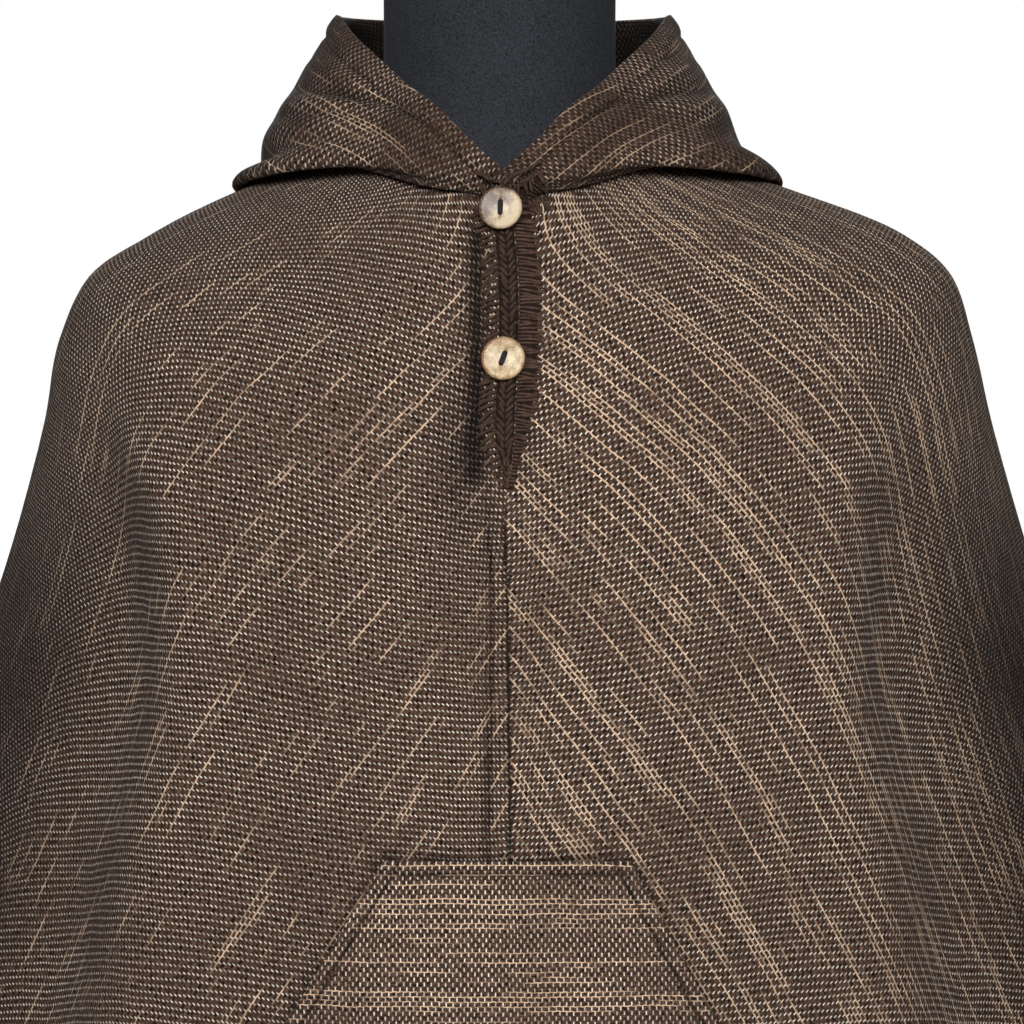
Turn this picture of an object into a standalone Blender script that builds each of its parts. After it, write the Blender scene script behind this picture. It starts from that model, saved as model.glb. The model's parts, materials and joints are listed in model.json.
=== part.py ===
"""Hooded Andean poncho on a dress form: the pieces at their real size.

Metres, +Z up. X runs to the wearer's left (the photo's right), and -Y is the front.
The origin is the centre of the stand's underside, on the floor.
Heights in the tables below are counted from the point of the V neckline, in millimetres.
"""
import math

import bpy
from mathutils import Vector
from mathutils.bvhtree import BVHTree

MM = 0.001

# Driving dimensions ---------------------------------------------------------------
V_HEIGHT = 1.300          # floor to the point of the V neckline
WALL = 2.5 * MM           # hand-woven wool, two plies thick
SEAM_GAP = 0.3 * MM       # between pieces that are sewn together
BUTTON_DIAMETER = 23 * MM
BUTTON_THICKNESS = 3.2 * MM
BUTTON_DISH = 0.35        # the flat middle of the button's face, as a part of its radius
BUTTON_HEIGHTS = {"button_top": -20, "button_bottom": -100}
BUTTON_X = {"button_top": -1.0 * MM, "button_bottom": 0.5 * MM}
BUTTON_BACKS = {"button_top": 7.7 * MM, "button_bottom": 5.0 * MM}   # in front of the body
BUTTON_UPRIGHT = 0.4      # they hang more upright than the cloth behind them
TRIM_WIDTH = 10 * MM
TRIM_HEIGHT = 2.2 * MM
TRIM_TOP = -17            # heights of the slit's two ends
TRIM_BOTTOM = -168
TRIM_NARROWS_AT = {"slit_braid": 0.78, "slit_blanket_edge": 0.60}    # part of the way down
TRIM_TIP = 0.25           # width left at the bottom, as a part of the full width
TRIM_EDGE = 0.45          # height of its edges, as a part of the height of its middle
SLIT_GAP = 1.0 * MM       # between the two crocheted edges
HOOD_FRONT_GAP = 1.0 * MM  # between the hood's two front edges
HOOD_CLEARANCE = 1.7 * MM
HOOD_RIGHT_TURN = 1.03    # the roll reaches a little further on the right
POLE_RADIUS = 14 * MM
FLANGE_RADIUS = 34 * MM   # at the pole's head and foot
COLLAR_RADIUS = 25 * MM   # on the base, round the pole's foot
COLLAR_TOP_RADIUS = 22 * MM
BASE_RADIUS = 0.19
BASE_HEIGHT = 22 * MM
PLATE_EDGE = 6 * MM
ROUNDING = 2 * MM         # of the base's lower edge

# Mesh density ---------------------------------------------------------------------
BODY_CELLS_ROUND = 36
BODY_CELLS_DOWN = 25
HOOD_CELLS_ROUND = 44
HOOD_CELLS_ALONG = 13
FORM_CELLS_ROUND = 40
POCKET_CELLS = (16, 14)
TRIM_CELLS = (26, 4)
ROUND_SIDES = 32
BASE_SIDES = 48
POLE_SIDES = 24
SHARP_ANGLE = math.radians(40)
NORMAL_REACH = 0.01       # steps that a normal is measured over, in radians and in t
NORMAL_STEP = 0.005

# Poncho body: one row for each ring round the shoulders, t = 0 at the neck, 1 at the hem.
# left, right: half widths; front, back: half depths; square: 2 is an ellipse, more is boxier;
# sweep: how far behind the shoulders the sides hang.
RING_COLUMNS = ("t", "left", "right", "front", "back", "z_side", "z_front", "z_back", "square", "sweep")
BODY_RINGS = (
    (0.00, 78, 80, 89, 72, 18, -13, 45, 2.0, 0),
    (0.09, 144, 158, 112, 106, -6, -78, -15, 2.0, 0),
    (0.17, 193, 219, 130, 127, -31, -137, -75, 2.05, 0),
    (0.22, 224, 243, 136, 134, -52, -174, -113, 2.1, 3),
    (0.27, 241, 255, 141, 138, -86, -211, -153, 2.15, 12),
    (0.33, 250, 266, 145, 142, -128, -256, -200, 2.2, 30),
    (0.39, 262, 279, 148, 145, -171, -302, -247, 2.2, 50),
    (0.60, 311, 326, 157, 153, -320, -461, -412, 2.2, 86),
    (0.80, 360, 374, 167, 162, -462, -613, -572, 2.2, 96),
    (1.00, 414, 426, 180, 172, -600, -764, -735, 2.2, 100),
)

# Centre line of the front: the button slit swings to the wearer's left above the seam.
CENTRE_LINE = ((0.00, 3.0), (0.03, 6.2), (0.15, 6.8), (0.20, 4.0), (0.225, 1.0), (0.28, 2.0), (1.00, 2.0))
CENTRE_COLUMNS = ("t", "x")
CENTRE_FADE = 8           # how fast that swing fades away from the centre line

# Folds, as soft ridges and troughs that start on the shoulder and run to the hem.
# Angles are counted round the ring, 0 at the front, 90 at the side, 180 at the back.
FOLD_COLUMNS = ("side", "angle_top", "angle_hem", "t_start", "t_full", "height", "width")
FOLDS = (
    ("left", 52, 37, 0.20, 0.40, 9, 6),
    ("left", 65, 49, 0.20, 0.45, -16, 8),
    ("left", 82, 74, 0.30, 0.80, 8, 13),
    ("left", 128, 136, 0.20, 0.55, -20, 10),
    ("left", 142, 150, 0.20, 0.55, 12, 8),
    ("left", 96, 100, 0.45, 1.00, -9, 9),
    ("left", 168, 165, 0.35, 1.00, -7, 8),
    ("right", 44, 36, 0.20, 0.42, 9, 6),
    ("right", 57, 48, 0.20, 0.45, -16, 8),
    ("right", 84, 76, 0.30, 0.80, 8, 13),
    ("right", 126, 133, 0.20, 0.55, -22, 10),
    ("right", 140, 147, 0.20, 0.55, 13, 8),
    ("right", 100, 104, 0.45, 1.00, -8, 9),
    ("right", 172, 168, 0.35, 1.00, -6, 8),
)

# Hood, pushed back: one row for each angle round the neck, 0 at the V, 180 behind.
# Each pair is a distance from the neck's axis and a height, along the cloth from the
# neck seam: under the roll, the roll's outer turn, the face, and the rim. The last row
# mirrors the one before 180, so that the pouch is round behind.
HOOD_COLUMNS = ("angle", "under_r", "under_z", "turn_r", "turn_z", "face_r", "face_z", "rim_r", "rim_z")
HOOD_SECTIONS = (
    (0, 93, -10, 95, -7, 96, -4, 95, 0),
    (10, 94, -9, 96, -5, 97, 3, 94, 15),
    (20, 95, -8, 99, -2, 99, 13, 93, 31),
    (45, 94, 1, 104, 6, 97, 28, 79, 52),
    (70, 106, 12, 132, 3, 119, 34, 83, 74),
    (90, 112, 16, 143, 0, 121, 36, 87, 87),
    (120, 118, 12, 155, -18, 136, 34, 101, 92),
    (150, 126, -12, 174, -110, 180, -10, 134, 96),
    (180, 127, -40, 162, -178, 194, -60, 150, 97),
    (210, 126, -12, 174, -110, 180, -10, 134, 96),
)

# Dress form: the neck above, then the torso below the shoulders that carry the cloth.
FORM_COLUMNS = ("left", "right", "front", "back", "z_side", "z_front", "z_back", "square")
FORM_NECK = (
    (65, 61, 58, 58, 105, 105, 105, 2.0),
    (65, 61, 59, 59, 60, 58, 62, 2.0),
    (67, 64, 65, 60, 34, 18, 52, 2.0),
)
FORM_SHOULDER_ROWS = (0, 1, 2, 3, 4)    # the body's own rows, which carry the cloth
FORM_TORSO = (
    (226, 236, 118, 116, -68, -186, -150, 2.2),
    (224, 232, 119, 116, -112, -218, -190, 2.3),
    (212, 218, 118, 115, -176, -262, -240, 2.3),
    (194, 198, 114, 110, -248, -306, -292, 2.3),
    (176, 178, 106, 104, -322, -350, -346, 2.3),
    (166, 167, 102, 100, -400, -400, -400, 2.3),
    (171, 171, 107, 103, -470, -470, -470, 2.3),
    (181, 181, 113, 109, -530, -530, -530, 2.3),
    (184, 184, 115, 111, -565, -565, -565, 2.3),
    (178, 178, 110, 106, -590, -590, -590, 2.3),
)
FORM_CLEARANCE = 0.4 * MM     # cloth to form where the shoulders carry it
FORM_CHEST_CLEARANCE = 11 * MM    # in front and behind, reached at this t
FORM_CHEST_FULL = 0.12

# Kangaroo pocket: one row for each height, left and right edges from the centre line.
POCKET_COLUMNS = ("z", "left", "right")
POCKET_EDGES = ((-361, -61, 65), (-525, -158, 152), (-600, -162, 158))
POCKET_GAP = 0.5 * MM
POCKET_BULGE = 3.4 * MM
POCKET_MOUTH = 1.6 * MM        # how far the slanted edges stand off the body
POCKET_CROWN = 0.7             # under 1, so that the bulge fills most of the height
POCKET_FULLNESS = 2.5          # the higher, the nearer the bulge comes to the sides

MATERIALS = {
    "cloth": ((0.105, 0.070, 0.052), 0.92, 0.0),
    "crochet": ((0.045, 0.026, 0.019), 0.95, 0.0),
    "coconut": ((0.56, 0.46, 0.33), 0.45, 0.0),
    "form_fabric": ((0.022, 0.024, 0.029), 0.9, 0.0),
    "stand_metal": ((0.03, 0.03, 0.032), 0.4, 0.6),
}


# Small helpers --------------------------------------------------------------------
def lookup(table, columns, name, at):
    """Smooth value of one column of a table, at a place along its first column."""
    place = columns.index(name)
    xs = [row[0] for row in table]
    ys = [row[place] for row in table]
    at = min(max(at, xs[0]), xs[-1])
    i = max(k for k in range(len(xs) - 1) if xs[k] <= at)
    slopes = [(ys[k + 1] - ys[k]) / (xs[k + 1] - xs[k]) for k in range(len(xs) - 1)]

    def tangent(k):
        if k == 0 or k == len(xs) - 1:
            return slopes[min(k, len(slopes) - 1)]
        before, after = xs[k] - xs[k - 1], xs[k + 1] - xs[k]
        return (slopes[k - 1] * after + slopes[k] * before) / (before + after)

    step = xs[i + 1] - xs[i]
    u = (at - xs[i]) / step
    return (
        ys[i] * (1 + 2 * u) * (1 - u) ** 2
        + ys[i + 1] * u * u * (3 - 2 * u)
        + step * u * (1 - u) * (tangent(i) * (1 - u) - tangent(i + 1) * u)
    )


def straight_lookup(table, place, at):
    """Value between two rows of a table, on a straight line."""
    for low, high in zip(table, table[1:]):
        if min(low[0], high[0]) <= at <= max(low[0], high[0]):
            u = (at - low[0]) / (high[0] - low[0])
            return low[place] * (1 - u) + high[place] * u
    return table[-1][place] if abs(at - table[-1][0]) < abs(at - table[0][0]) else table[0][place]


def ramp(at, start, full):
    u = min(max((at - start) / (full - start), 0.0), 1.0)
    return u * u * (3 - 2 * u)


def ellipse_point(row, side, angle):
    """Point on one half of a ring; angle 0 is the front, pi the back; row is in millimetres."""
    power = 2 / row["square"]
    facing = math.cos(angle)
    depth = row["front"] if facing > 0 else row["back"]
    end = row["z_front"] if facing > 0 else row["z_back"]
    width = row["left"] if side == "left" else row["right"]
    x = width * abs(math.sin(angle)) ** power * (-1 if side == "left" else 1)
    y = -math.copysign(depth * abs(facing) ** power, facing)
    z = row["z_side"] + (end - row["z_side"]) * facing * facing
    return Vector((x, y, z)) * MM + Vector((0, 0, V_HEIGHT))


def new_object(name, verts, faces, material):
    mesh = bpy.data.meshes.new(name)
    mesh.from_pydata([tuple(v) for v in verts], [], faces)
    mesh.materials.append(material_of(material))
    mesh.shade_smooth()
    mesh.set_sharp_from_angle(angle=SHARP_ANGLE)
    obj = bpy.data.objects.new(name, mesh)
    bpy.context.scene.collection.objects.link(obj)
    return obj


def material_of(name):
    material = bpy.data.materials.get(name)
    if material is None:
        color, roughness, metallic = MATERIALS[name]
        material = bpy.data.materials.new(name)
        material.use_nodes = True
        shader = material.node_tree.nodes["Principled BSDF"]
        shader.inputs["Base Color"].default_value = (*color, 1)
        shader.inputs["Roughness"].default_value = roughness
        shader.inputs["Metallic"].default_value = metallic
    return material


def wall_solid(name, outer, inner, material):
    """Closed wall between two equal grids of points, outer rows seen from outside
    with columns running left to right and rows running down."""
    rows, columns = len(outer), len(outer[0])
    count = rows * columns
    verts = [p for row in outer for p in row] + [p for row in inner for p in row]

    def at(i, j, layer):
        return layer * count + i * columns + j

    faces = []
    for i in range(rows - 1):
        for j in range(columns - 1):
            faces.append((at(i, j, 0), at(i + 1, j, 0), at(i + 1, j + 1, 0), at(i, j + 1, 0)))
            faces.append((at(i, j, 1), at(i, j + 1, 1), at(i + 1, j + 1, 1), at(i + 1, j, 1)))
    for j in range(columns - 1):
        faces.append((at(0, j, 0), at(0, j + 1, 0), at(0, j + 1, 1), at(0, j, 1)))
        last = rows - 1
        faces.append((at(last, j, 0), at(last, j, 1), at(last, j + 1, 1), at(last, j + 1, 0)))
    for i in range(rows - 1):
        faces.append((at(i, 0, 0), at(i, 0, 1), at(i + 1, 0, 1), at(i + 1, 0, 0)))
        last = columns - 1
        faces.append((at(i, last, 0), at(i + 1, last, 0), at(i + 1, last, 1), at(i, last, 1)))
    return new_object(name, verts, faces, material)


def turned_solid(name, profile, place, axis, material, sides=ROUND_SIDES):
    """Solid turned from (radius, height) pairs; the first and last lie on the axis."""
    along = axis.normalized()
    across = along.orthogonal().normalized()
    other = along.cross(across)
    verts = [place + along * profile[0][1]]
    for radius, height in profile[1:-1]:
        for k in range(sides):
            turn = math.tau * k / sides
            spoke = across * math.cos(turn) + other * math.sin(turn)
            verts.append(place + along * height + spoke * radius)
    verts.append(place + along * profile[-1][1])
    faces = []
    rings = len(profile) - 2
    for k in range(sides):
        after = (k + 1) % sides
        faces.append((0, 1 + after, 1 + k))
        for i in range(rings - 1):
            low, high = 1 + i * sides, 1 + (i + 1) * sides
            faces.append((low + k, low + after, high + after, high + k))
        last = 1 + (rings - 1) * sides
        faces.append((last + k, last + after, len(verts) - 1))
    return new_object(name, verts, faces, material)


# Poncho body ----------------------------------------------------------------------
def body_row(t):
    return {name: lookup(BODY_RINGS, RING_COLUMNS, name, t) for name in RING_COLUMNS[1:]}


def centre_x(t):
    return lookup(CENTRE_LINE, CENTRE_COLUMNS, "x", t) * MM


def body_base(side, angle, t):
    row = body_row(t)
    point = ellipse_point(row, side, angle)
    point.x += centre_x(t) * max(math.cos(angle), 0) ** CENTRE_FADE
    point.y += row["sweep"] * MM * math.sin(angle) ** 2
    return point


def body_normal(side, angle, t):
    """Outward normal of the smooth body, before its folds."""
    angle = min(max(angle, 2 * NORMAL_REACH), math.pi - 2 * NORMAL_REACH)
    round_it = body_base(side, angle + NORMAL_REACH, t) - body_base(side, angle - NORMAL_REACH, t)
    down = body_base(side, angle, min(t + NORMAL_STEP, 1)) - body_base(side, angle, max(t - NORMAL_STEP, 0))
    normal = round_it.cross(down) if side == "left" else down.cross(round_it)
    return normal.normalized()


def fold_height(side, angle, t):
    height = 0.0
    for row in FOLDS:
        fold = dict(zip(FOLD_COLUMNS, row))
        if fold["side"] != side:
            continue
        part_way = ramp(t, fold["t_start"], fold["t_full"])
        centre = fold["angle_top"] + (fold["angle_hem"] - fold["angle_top"]) * part_way
        away = (math.degrees(angle) - centre) / fold["width"]
        height += fold["height"] * math.exp(-away * away) * part_way
    return height * MM


def body_point(side, angle, t, out=0.0):
    """Point on the body's outer face, or that far out from it."""
    point = body_base(side, angle, t) + body_normal(side, angle, t) * (fold_height(side, angle, t) + out)
    point.x += SEAM_GAP / 2 * (-1 if side == "left" else 1)
    return point


def body_grid(side, out=0.0):
    """Rows from the neck to the hem; columns run right, seen from outside."""
    angles = [math.pi * j / BODY_CELLS_ROUND for j in range(BODY_CELLS_ROUND + 1)]
    if side == "left":
        angles.reverse()
    ts = [i / BODY_CELLS_DOWN for i in range(BODY_CELLS_DOWN + 1)]
    return [[body_point(side, angle, t, out) for angle in angles] for t in ts]


def build_body(side):
    outer, inner = body_grid(side), body_grid(side, -WALL)
    for outside, inside in zip(outer, inner):
        for edge in (0, -1):      # the edges stay square to the seams
            inside[edge].x = outside[edge].x
    return wall_solid(f"body_{side}", outer, inner, "cloth")


def t_at_height(z):
    """Place down the front's centre line at a height in millimetres from the V."""
    low, high = 0.0, 1.0
    for _ in range(30):
        middle = (low + high) / 2
        if lookup(BODY_RINGS, RING_COLUMNS, "z_front", middle) > z:
            low = middle
        else:
            high = middle
    return (low + high) / 2


def front_point(x, t, out=0.0):
    """Point on the front at a distance x from the centre line, on ring t."""
    side = "left" if x < 0 else "right"
    row = body_row(t)
    angle = math.asin(min(abs(x) / MM / row[side], 1) ** (row["square"] / 2))
    return body_point(side, angle, t, out)


# Hood -----------------------------------------------------------------------------
def hood_sections(side, angle):
    """Five points along the middle of the hood's wall, at one angle round the neck."""
    sign = -1 if side == "left" else 1
    points = [body_point(side, angle, 0.0, SEAM_GAP + WALL / 2)]
    for name in ("under", "turn", "face", "rim"):
        radius = lookup(HOOD_SECTIONS, HOOD_COLUMNS, f"{name}_r", math.degrees(angle)) * MM
        height = lookup(HOOD_SECTIONS, HOOD_COLUMNS, f"{name}_z", math.degrees(angle)) * MM
        if side == "right" and name == "turn":
            radius *= HOOD_RIGHT_TURN
        across = sign * (radius * math.sin(angle) + HOOD_FRONT_GAP / 2)
        points.append(Vector((across, -radius * math.cos(angle), V_HEIGHT + height)))
    points[0].x += sign * HOOD_FRONT_GAP / 2
    return points


def smooth_along(points, u):
    """Catmull-Rom curve through the points, u from 0 to 1."""
    spans = len(points) - 1
    i = min(int(u * spans), spans - 1)
    f = u * spans - i
    before = points[i - 1] if i else points[0] * 2 - points[1]
    after = points[i + 2] if i + 2 <= spans else points[-1] * 2 - points[-2]
    a, b = points[i], points[i + 1]
    return 0.5 * (
        2 * a
        + (b - before) * f
        + (2 * before - 5 * a + 4 * b - after) * f * f
        + (3 * a - before - 3 * b + after) * f**3
    )


def keep_clear(point, tree, distance):
    """Move a point out of a surface, to at least a distance from it."""
    place, normal, _, _ = tree.find_nearest(point)
    depth = (point - place).dot(normal)
    return place + normal * distance if depth < distance else point


def grid_normals(grid):
    """Normals of a grid of points whose rows run down and columns run right, seen from outside."""
    rows, columns = len(grid), len(grid[0])
    normals = []
    for i in range(rows):
        line = []
        for j in range(columns):
            down = grid[min(i + 1, rows - 1)][j] - grid[max(i - 1, 0)][j]
            right = grid[i][min(j + 1, columns - 1)] - grid[i][max(j - 1, 0)]
            line.append(down.cross(right).normalized())
        normals.append(line)
    return normals


def build_hood():
    """One wall from the right front edge, round behind the neck, to the left front edge."""
    tree = outer_tree()
    columns = []
    for j in range(HOOD_CELLS_ROUND + 1):
        turn = math.tau * j / HOOD_CELLS_ROUND
        side, angle = ("right", turn) if turn <= math.pi else ("left", math.tau - turn)
        sections = hood_sections(side, angle)
        line = [smooth_along(sections, 1 - i / HOOD_CELLS_ALONG) for i in range(HOOD_CELLS_ALONG + 1)]
        line[:-1] = [keep_clear(p, tree, WALL / 2 + HOOD_CLEARANCE) for p in line[:-1]]
        columns.append(line)
    middle = [list(row) for row in zip(*columns)]
    normals = grid_normals(middle)
    outer = [[p + n * WALL / 2 for p, n in zip(*rows)] for rows in zip(middle, normals)]
    inner = [[p - n * WALL / 2 for p, n in zip(*rows)] for rows in zip(middle, normals)]
    return wall_solid("hood", outer, inner, "cloth")


def outer_tree():
    """The body's outer face as one surface, on the same grid as its solids."""
    rows = [left + right for left, right in zip(body_grid("left"), body_grid("right"))]
    columns = len(rows[0])
    verts = [point for row in rows for point in row]
    faces = []
    for i in range(BODY_CELLS_DOWN):
        high, low = i * columns, (i + 1) * columns
        for j in range(columns):
            after = (j + 1) % columns
            faces.append((high + j, low + j, low + after, high + after))
    return BVHTree.FromPolygons(verts, faces)


# Pocket, button slit and buttons --------------------------------------------------
def front_at(x, z, tree, out=0.0):
    """Point straight in front of the body's face, moved out along its smooth normal."""
    place, _, _, _ = tree.ray_cast(Vector((x, -1, V_HEIGHT + z)), Vector((0, 1, 0)))
    t = t_at_height(z / MM)
    angle = math.asin(min(abs(x) / MM / body_row(t)["left"], 1) ** (body_row(t)["square"] / 2))
    return place + body_normal("left" if x < 0 else "right", angle, t) * out


def build_pocket():
    across, down = POCKET_CELLS
    top, mouth_end, bottom = (row[0] for row in POCKET_EDGES)
    tree = outer_tree()
    outer, inner = [], []
    for i in range(down + 1):
        v = i / down
        z = top + (bottom - top) * v
        left = straight_lookup(POCKET_EDGES, POCKET_COLUMNS.index("left"), z)
        right = straight_lookup(POCKET_EDGES, POCKET_COLUMNS.index("right"), z)
        mouth = POCKET_MOUTH * math.sin(math.pi * min((z - top) / (mouth_end - top), 1))
        crown = math.sin(math.pi * v) ** POCKET_CROWN
        front, back = [], []
        for j in range(across + 1):
            u = j / across
            x = (left + (right - left) * u) * MM
            fullness = 1 - abs(2 * u - 1) ** POCKET_FULLNESS
            out = POCKET_GAP + mouth * (1 - fullness) + POCKET_BULGE * crown * fullness
            front.append(front_at(x, z * MM, tree, out + WALL))
            back.append(front_at(x, z * MM, tree, out))
        outer.append(front)
        inner.append(back)
    return wall_solid("pocket", outer, inner, "cloth")


def build_trim(name, side):
    """Low crocheted band along one edge of the button slit."""
    along, across = TRIM_CELLS
    sign = -1 if side == "left" else 1
    outer, inner = [], []
    for i in range(along + 1):
        part_way = i / along
        t = t_at_height(TRIM_TOP + (TRIM_BOTTOM - TRIM_TOP) * part_way)
        width = TRIM_WIDTH * (1 - (1 - TRIM_TIP) * ramp(part_way, TRIM_NARROWS_AT[name], 1.0))
        top, under = [], []
        for j in range(across + 1):
            w = j / across
            x = sign * (SLIT_GAP / 2 + width * w)
            swell = TRIM_EDGE + (1 - TRIM_EDGE) * math.sin(math.pi * w)
            top.append(front_point(x, t, SEAM_GAP + TRIM_HEIGHT * swell))
            under.append(front_point(x, t, SEAM_GAP))
        if side == "left":
            top.reverse()
            under.reverse()
        outer.append(top)
        inner.append(under)
    return wall_solid(name, outer, inner, "crochet")


def build_button(name):
    """Coconut shell disc with a rounded rim and a shallow dish in front."""
    radius, half = BUTTON_DIAMETER / 2, BUTTON_THICKNESS / 2
    t = t_at_height(BUTTON_HEIGHTS[name])
    x = BUTTON_X[name] - centre_x(t)
    back = BUTTON_BACKS[name]
    place = front_point(x, t)
    facing = front_point(x, t, WALL) - place
    facing.z *= BUTTON_UPRIGHT
    place.y -= back + half
    profile = (
        (0, -half),
        (radius - 2.2 * MM, -half),
        (radius - 0.7 * MM, -half + 0.5 * MM),
        (radius, 0),
        (radius - 0.5 * MM, half - 0.5 * MM),
        (radius - 1.6 * MM, half),
        (radius - 3.4 * MM, half - 0.3 * MM),
        (radius * BUTTON_DISH, half - 0.8 * MM),
        (0, half - 0.8 * MM),
    )
    return turned_solid(name, profile, place, facing, "coconut")


# Dress form and its stand ---------------------------------------------------------
def form_ring(row):
    named = dict(zip(FORM_COLUMNS, row))
    ring = []
    for k in range(FORM_CELLS_ROUND):
        turn = math.tau * k / FORM_CELLS_ROUND
        side, angle = ("right", turn) if turn <= math.pi else ("left", math.tau - turn)
        ring.append(ellipse_point(named, side, angle))
    return ring


def shoulder_ring(t):
    """Ring of the form just inside the cloth, nearest to it on the shoulders."""
    ring = []
    for k in range(FORM_CELLS_ROUND):
        turn = math.tau * k / FORM_CELLS_ROUND
        side, angle = ("right", turn) if turn <= math.pi else ("left", math.tau - turn)
        chest = math.cos(angle) ** 2 * ramp(t, 0, FORM_CHEST_FULL)
        inset = WALL + FORM_CLEARANCE + FORM_CHEST_CLEARANCE * chest
        ring.append(body_point(side, angle, t, -inset))
    return ring


def build_form():
    rings = [form_ring(row) for row in FORM_NECK]
    rings += [shoulder_ring(row / BODY_CELLS_DOWN) for row in FORM_SHOULDER_ROWS]
    rings += [form_ring(row) for row in FORM_TORSO]
    verts = [p for ring in rings for p in ring]
    count = FORM_CELLS_ROUND
    top, bottom = len(verts), len(verts) + 1
    verts += [sum(rings[0], Vector()) / count, sum(rings[-1], Vector()) / count]
    faces = []
    for k in range(count):
        after = (k + 1) % count
        faces.append((top, k, after))
        faces.append((bottom, (len(rings) - 1) * count + after, (len(rings) - 1) * count + k))
        for i in range(len(rings) - 1):
            high, low = i * count, (i + 1) * count
            faces.append((high + k, low + k, low + after, high + after))
    return new_object("form_torso", verts, faces, "form_fabric")


def build_stand():
    up = Vector((0, 0, 1))
    collar = BASE_HEIGHT + 3 * PLATE_EDGE
    base = (
        (0, 0),
        (BASE_RADIUS - ROUNDING, 0),
        (BASE_RADIUS, ROUNDING),
        (BASE_RADIUS, BASE_HEIGHT / 2 - ROUNDING),
        (BASE_RADIUS - PLATE_EDGE, BASE_HEIGHT / 2 + ROUNDING),
        (FLANGE_RADIUS, BASE_HEIGHT),
        (COLLAR_RADIUS, BASE_HEIGHT + PLATE_EDGE),
        (COLLAR_TOP_RADIUS, collar),
        (0, collar),
    )
    turned_solid("form_base", base, Vector(), up, "stand_metal", BASE_SIDES)
    foot = collar + SEAM_GAP
    head = V_HEIGHT + FORM_TORSO[-1][FORM_COLUMNS.index("z_side")] * MM - SEAM_GAP
    pole = (
        (0, foot),
        (POLE_RADIUS, foot),
        (POLE_RADIUS, head - 2 * PLATE_EDGE),
        (FLANGE_RADIUS, head - PLATE_EDGE),
        (FLANGE_RADIUS, head),
        (0, head),
    )
    turned_solid("form_pole", pole, Vector(), up, "stand_metal", POLE_SIDES)


# Scene ----------------------------------------------------------------------------
def clear_scene():
    for obj in list(bpy.data.objects):
        bpy.data.objects.remove(obj, do_unlink=True)


def main():
    clear_scene()
    build_body("left")
    build_body("right")
    build_hood()
    build_pocket()
    build_trim("slit_braid", "left")
    build_trim("slit_blanket_edge", "right")
    for name in BUTTON_HEIGHTS:
        build_button(name)
    build_form()
    build_stand()


main()
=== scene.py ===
"""Hooded Andean poncho on a dress form: the finish of every surface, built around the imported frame.

Metres, +Z up, -Y is the front. Heights in the tables are millimetres from the point of the V
neckline, and angles are counted round the neck: 0 in front, 90 at the side, 180 behind.
"""
import json
import math

import bpy
import numpy as np
from mathutils import Matrix, Vector
from mathutils.bvhtree import BVHTree

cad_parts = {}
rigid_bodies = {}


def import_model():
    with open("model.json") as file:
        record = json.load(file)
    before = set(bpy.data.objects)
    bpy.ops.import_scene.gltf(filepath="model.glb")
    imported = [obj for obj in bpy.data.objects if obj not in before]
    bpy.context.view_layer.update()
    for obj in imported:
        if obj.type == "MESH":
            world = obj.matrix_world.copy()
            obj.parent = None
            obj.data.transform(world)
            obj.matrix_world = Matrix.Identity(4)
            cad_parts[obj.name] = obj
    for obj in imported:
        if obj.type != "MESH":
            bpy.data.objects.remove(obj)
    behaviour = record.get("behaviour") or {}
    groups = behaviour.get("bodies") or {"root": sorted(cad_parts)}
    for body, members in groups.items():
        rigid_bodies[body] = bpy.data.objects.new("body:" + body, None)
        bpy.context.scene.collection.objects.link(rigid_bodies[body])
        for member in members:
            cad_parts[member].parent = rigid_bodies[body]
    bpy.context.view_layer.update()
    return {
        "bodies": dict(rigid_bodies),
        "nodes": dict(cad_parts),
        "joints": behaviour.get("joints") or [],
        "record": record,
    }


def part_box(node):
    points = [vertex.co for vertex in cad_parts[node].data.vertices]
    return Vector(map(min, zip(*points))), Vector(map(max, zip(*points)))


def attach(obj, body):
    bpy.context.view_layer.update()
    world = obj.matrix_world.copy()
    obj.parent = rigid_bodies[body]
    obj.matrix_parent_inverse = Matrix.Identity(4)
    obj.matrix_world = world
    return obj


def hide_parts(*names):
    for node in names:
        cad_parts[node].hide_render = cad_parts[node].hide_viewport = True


MM = 0.001
SIDES = {"left": -1, "right": 1}

# Sizes that the frame was built from ------------------------------------------------
V_HEIGHT = 1.300
WALL = 2.5 * MM
SEAM_GAP = 0.3 * MM
HOOD_FRONT_GAP = 1.0 * MM
HOOD_CLEARANCE = 1.7 * MM
HOOD_RIGHT_TURN = 1.03
TRIM_TOP = -17
TRIM_BOTTOM = -168

RING_COLUMNS = ("t", "left", "right", "front", "back", "z_side", "z_front", "z_back", "square", "sweep")
BODY_RINGS = (
    (0.00, 78, 80, 89, 72, 18, -13, 45, 2.0, 0),
    (0.09, 144, 158, 112, 106, -6, -78, -15, 2.0, 0),
    (0.17, 193, 219, 130, 127, -31, -137, -75, 2.05, 0),
    (0.22, 224, 243, 136, 134, -52, -174, -113, 2.1, 3),
    (0.27, 241, 255, 141, 138, -86, -211, -153, 2.15, 12),
    (0.33, 250, 266, 145, 142, -128, -256, -200, 2.2, 30),
    (0.39, 262, 279, 148, 145, -171, -302, -247, 2.2, 50),
    (0.60, 311, 326, 157, 153, -320, -461, -412, 2.2, 86),
    (0.80, 360, 374, 167, 162, -462, -613, -572, 2.2, 96),
    (1.00, 414, 426, 180, 172, -600, -764, -735, 2.2, 100),
)
CENTRE_COLUMNS = ("t", "x")
CENTRE_LINE = ((0.00, 3.0), (0.03, 6.2), (0.15, 6.8), (0.20, 4.0), (0.225, 1.0), (0.28, 2.0), (1.00, 2.0))
FOLD_COLUMNS = ("side", "angle_top", "angle_hem", "t_start", "t_full", "height", "width")
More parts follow.
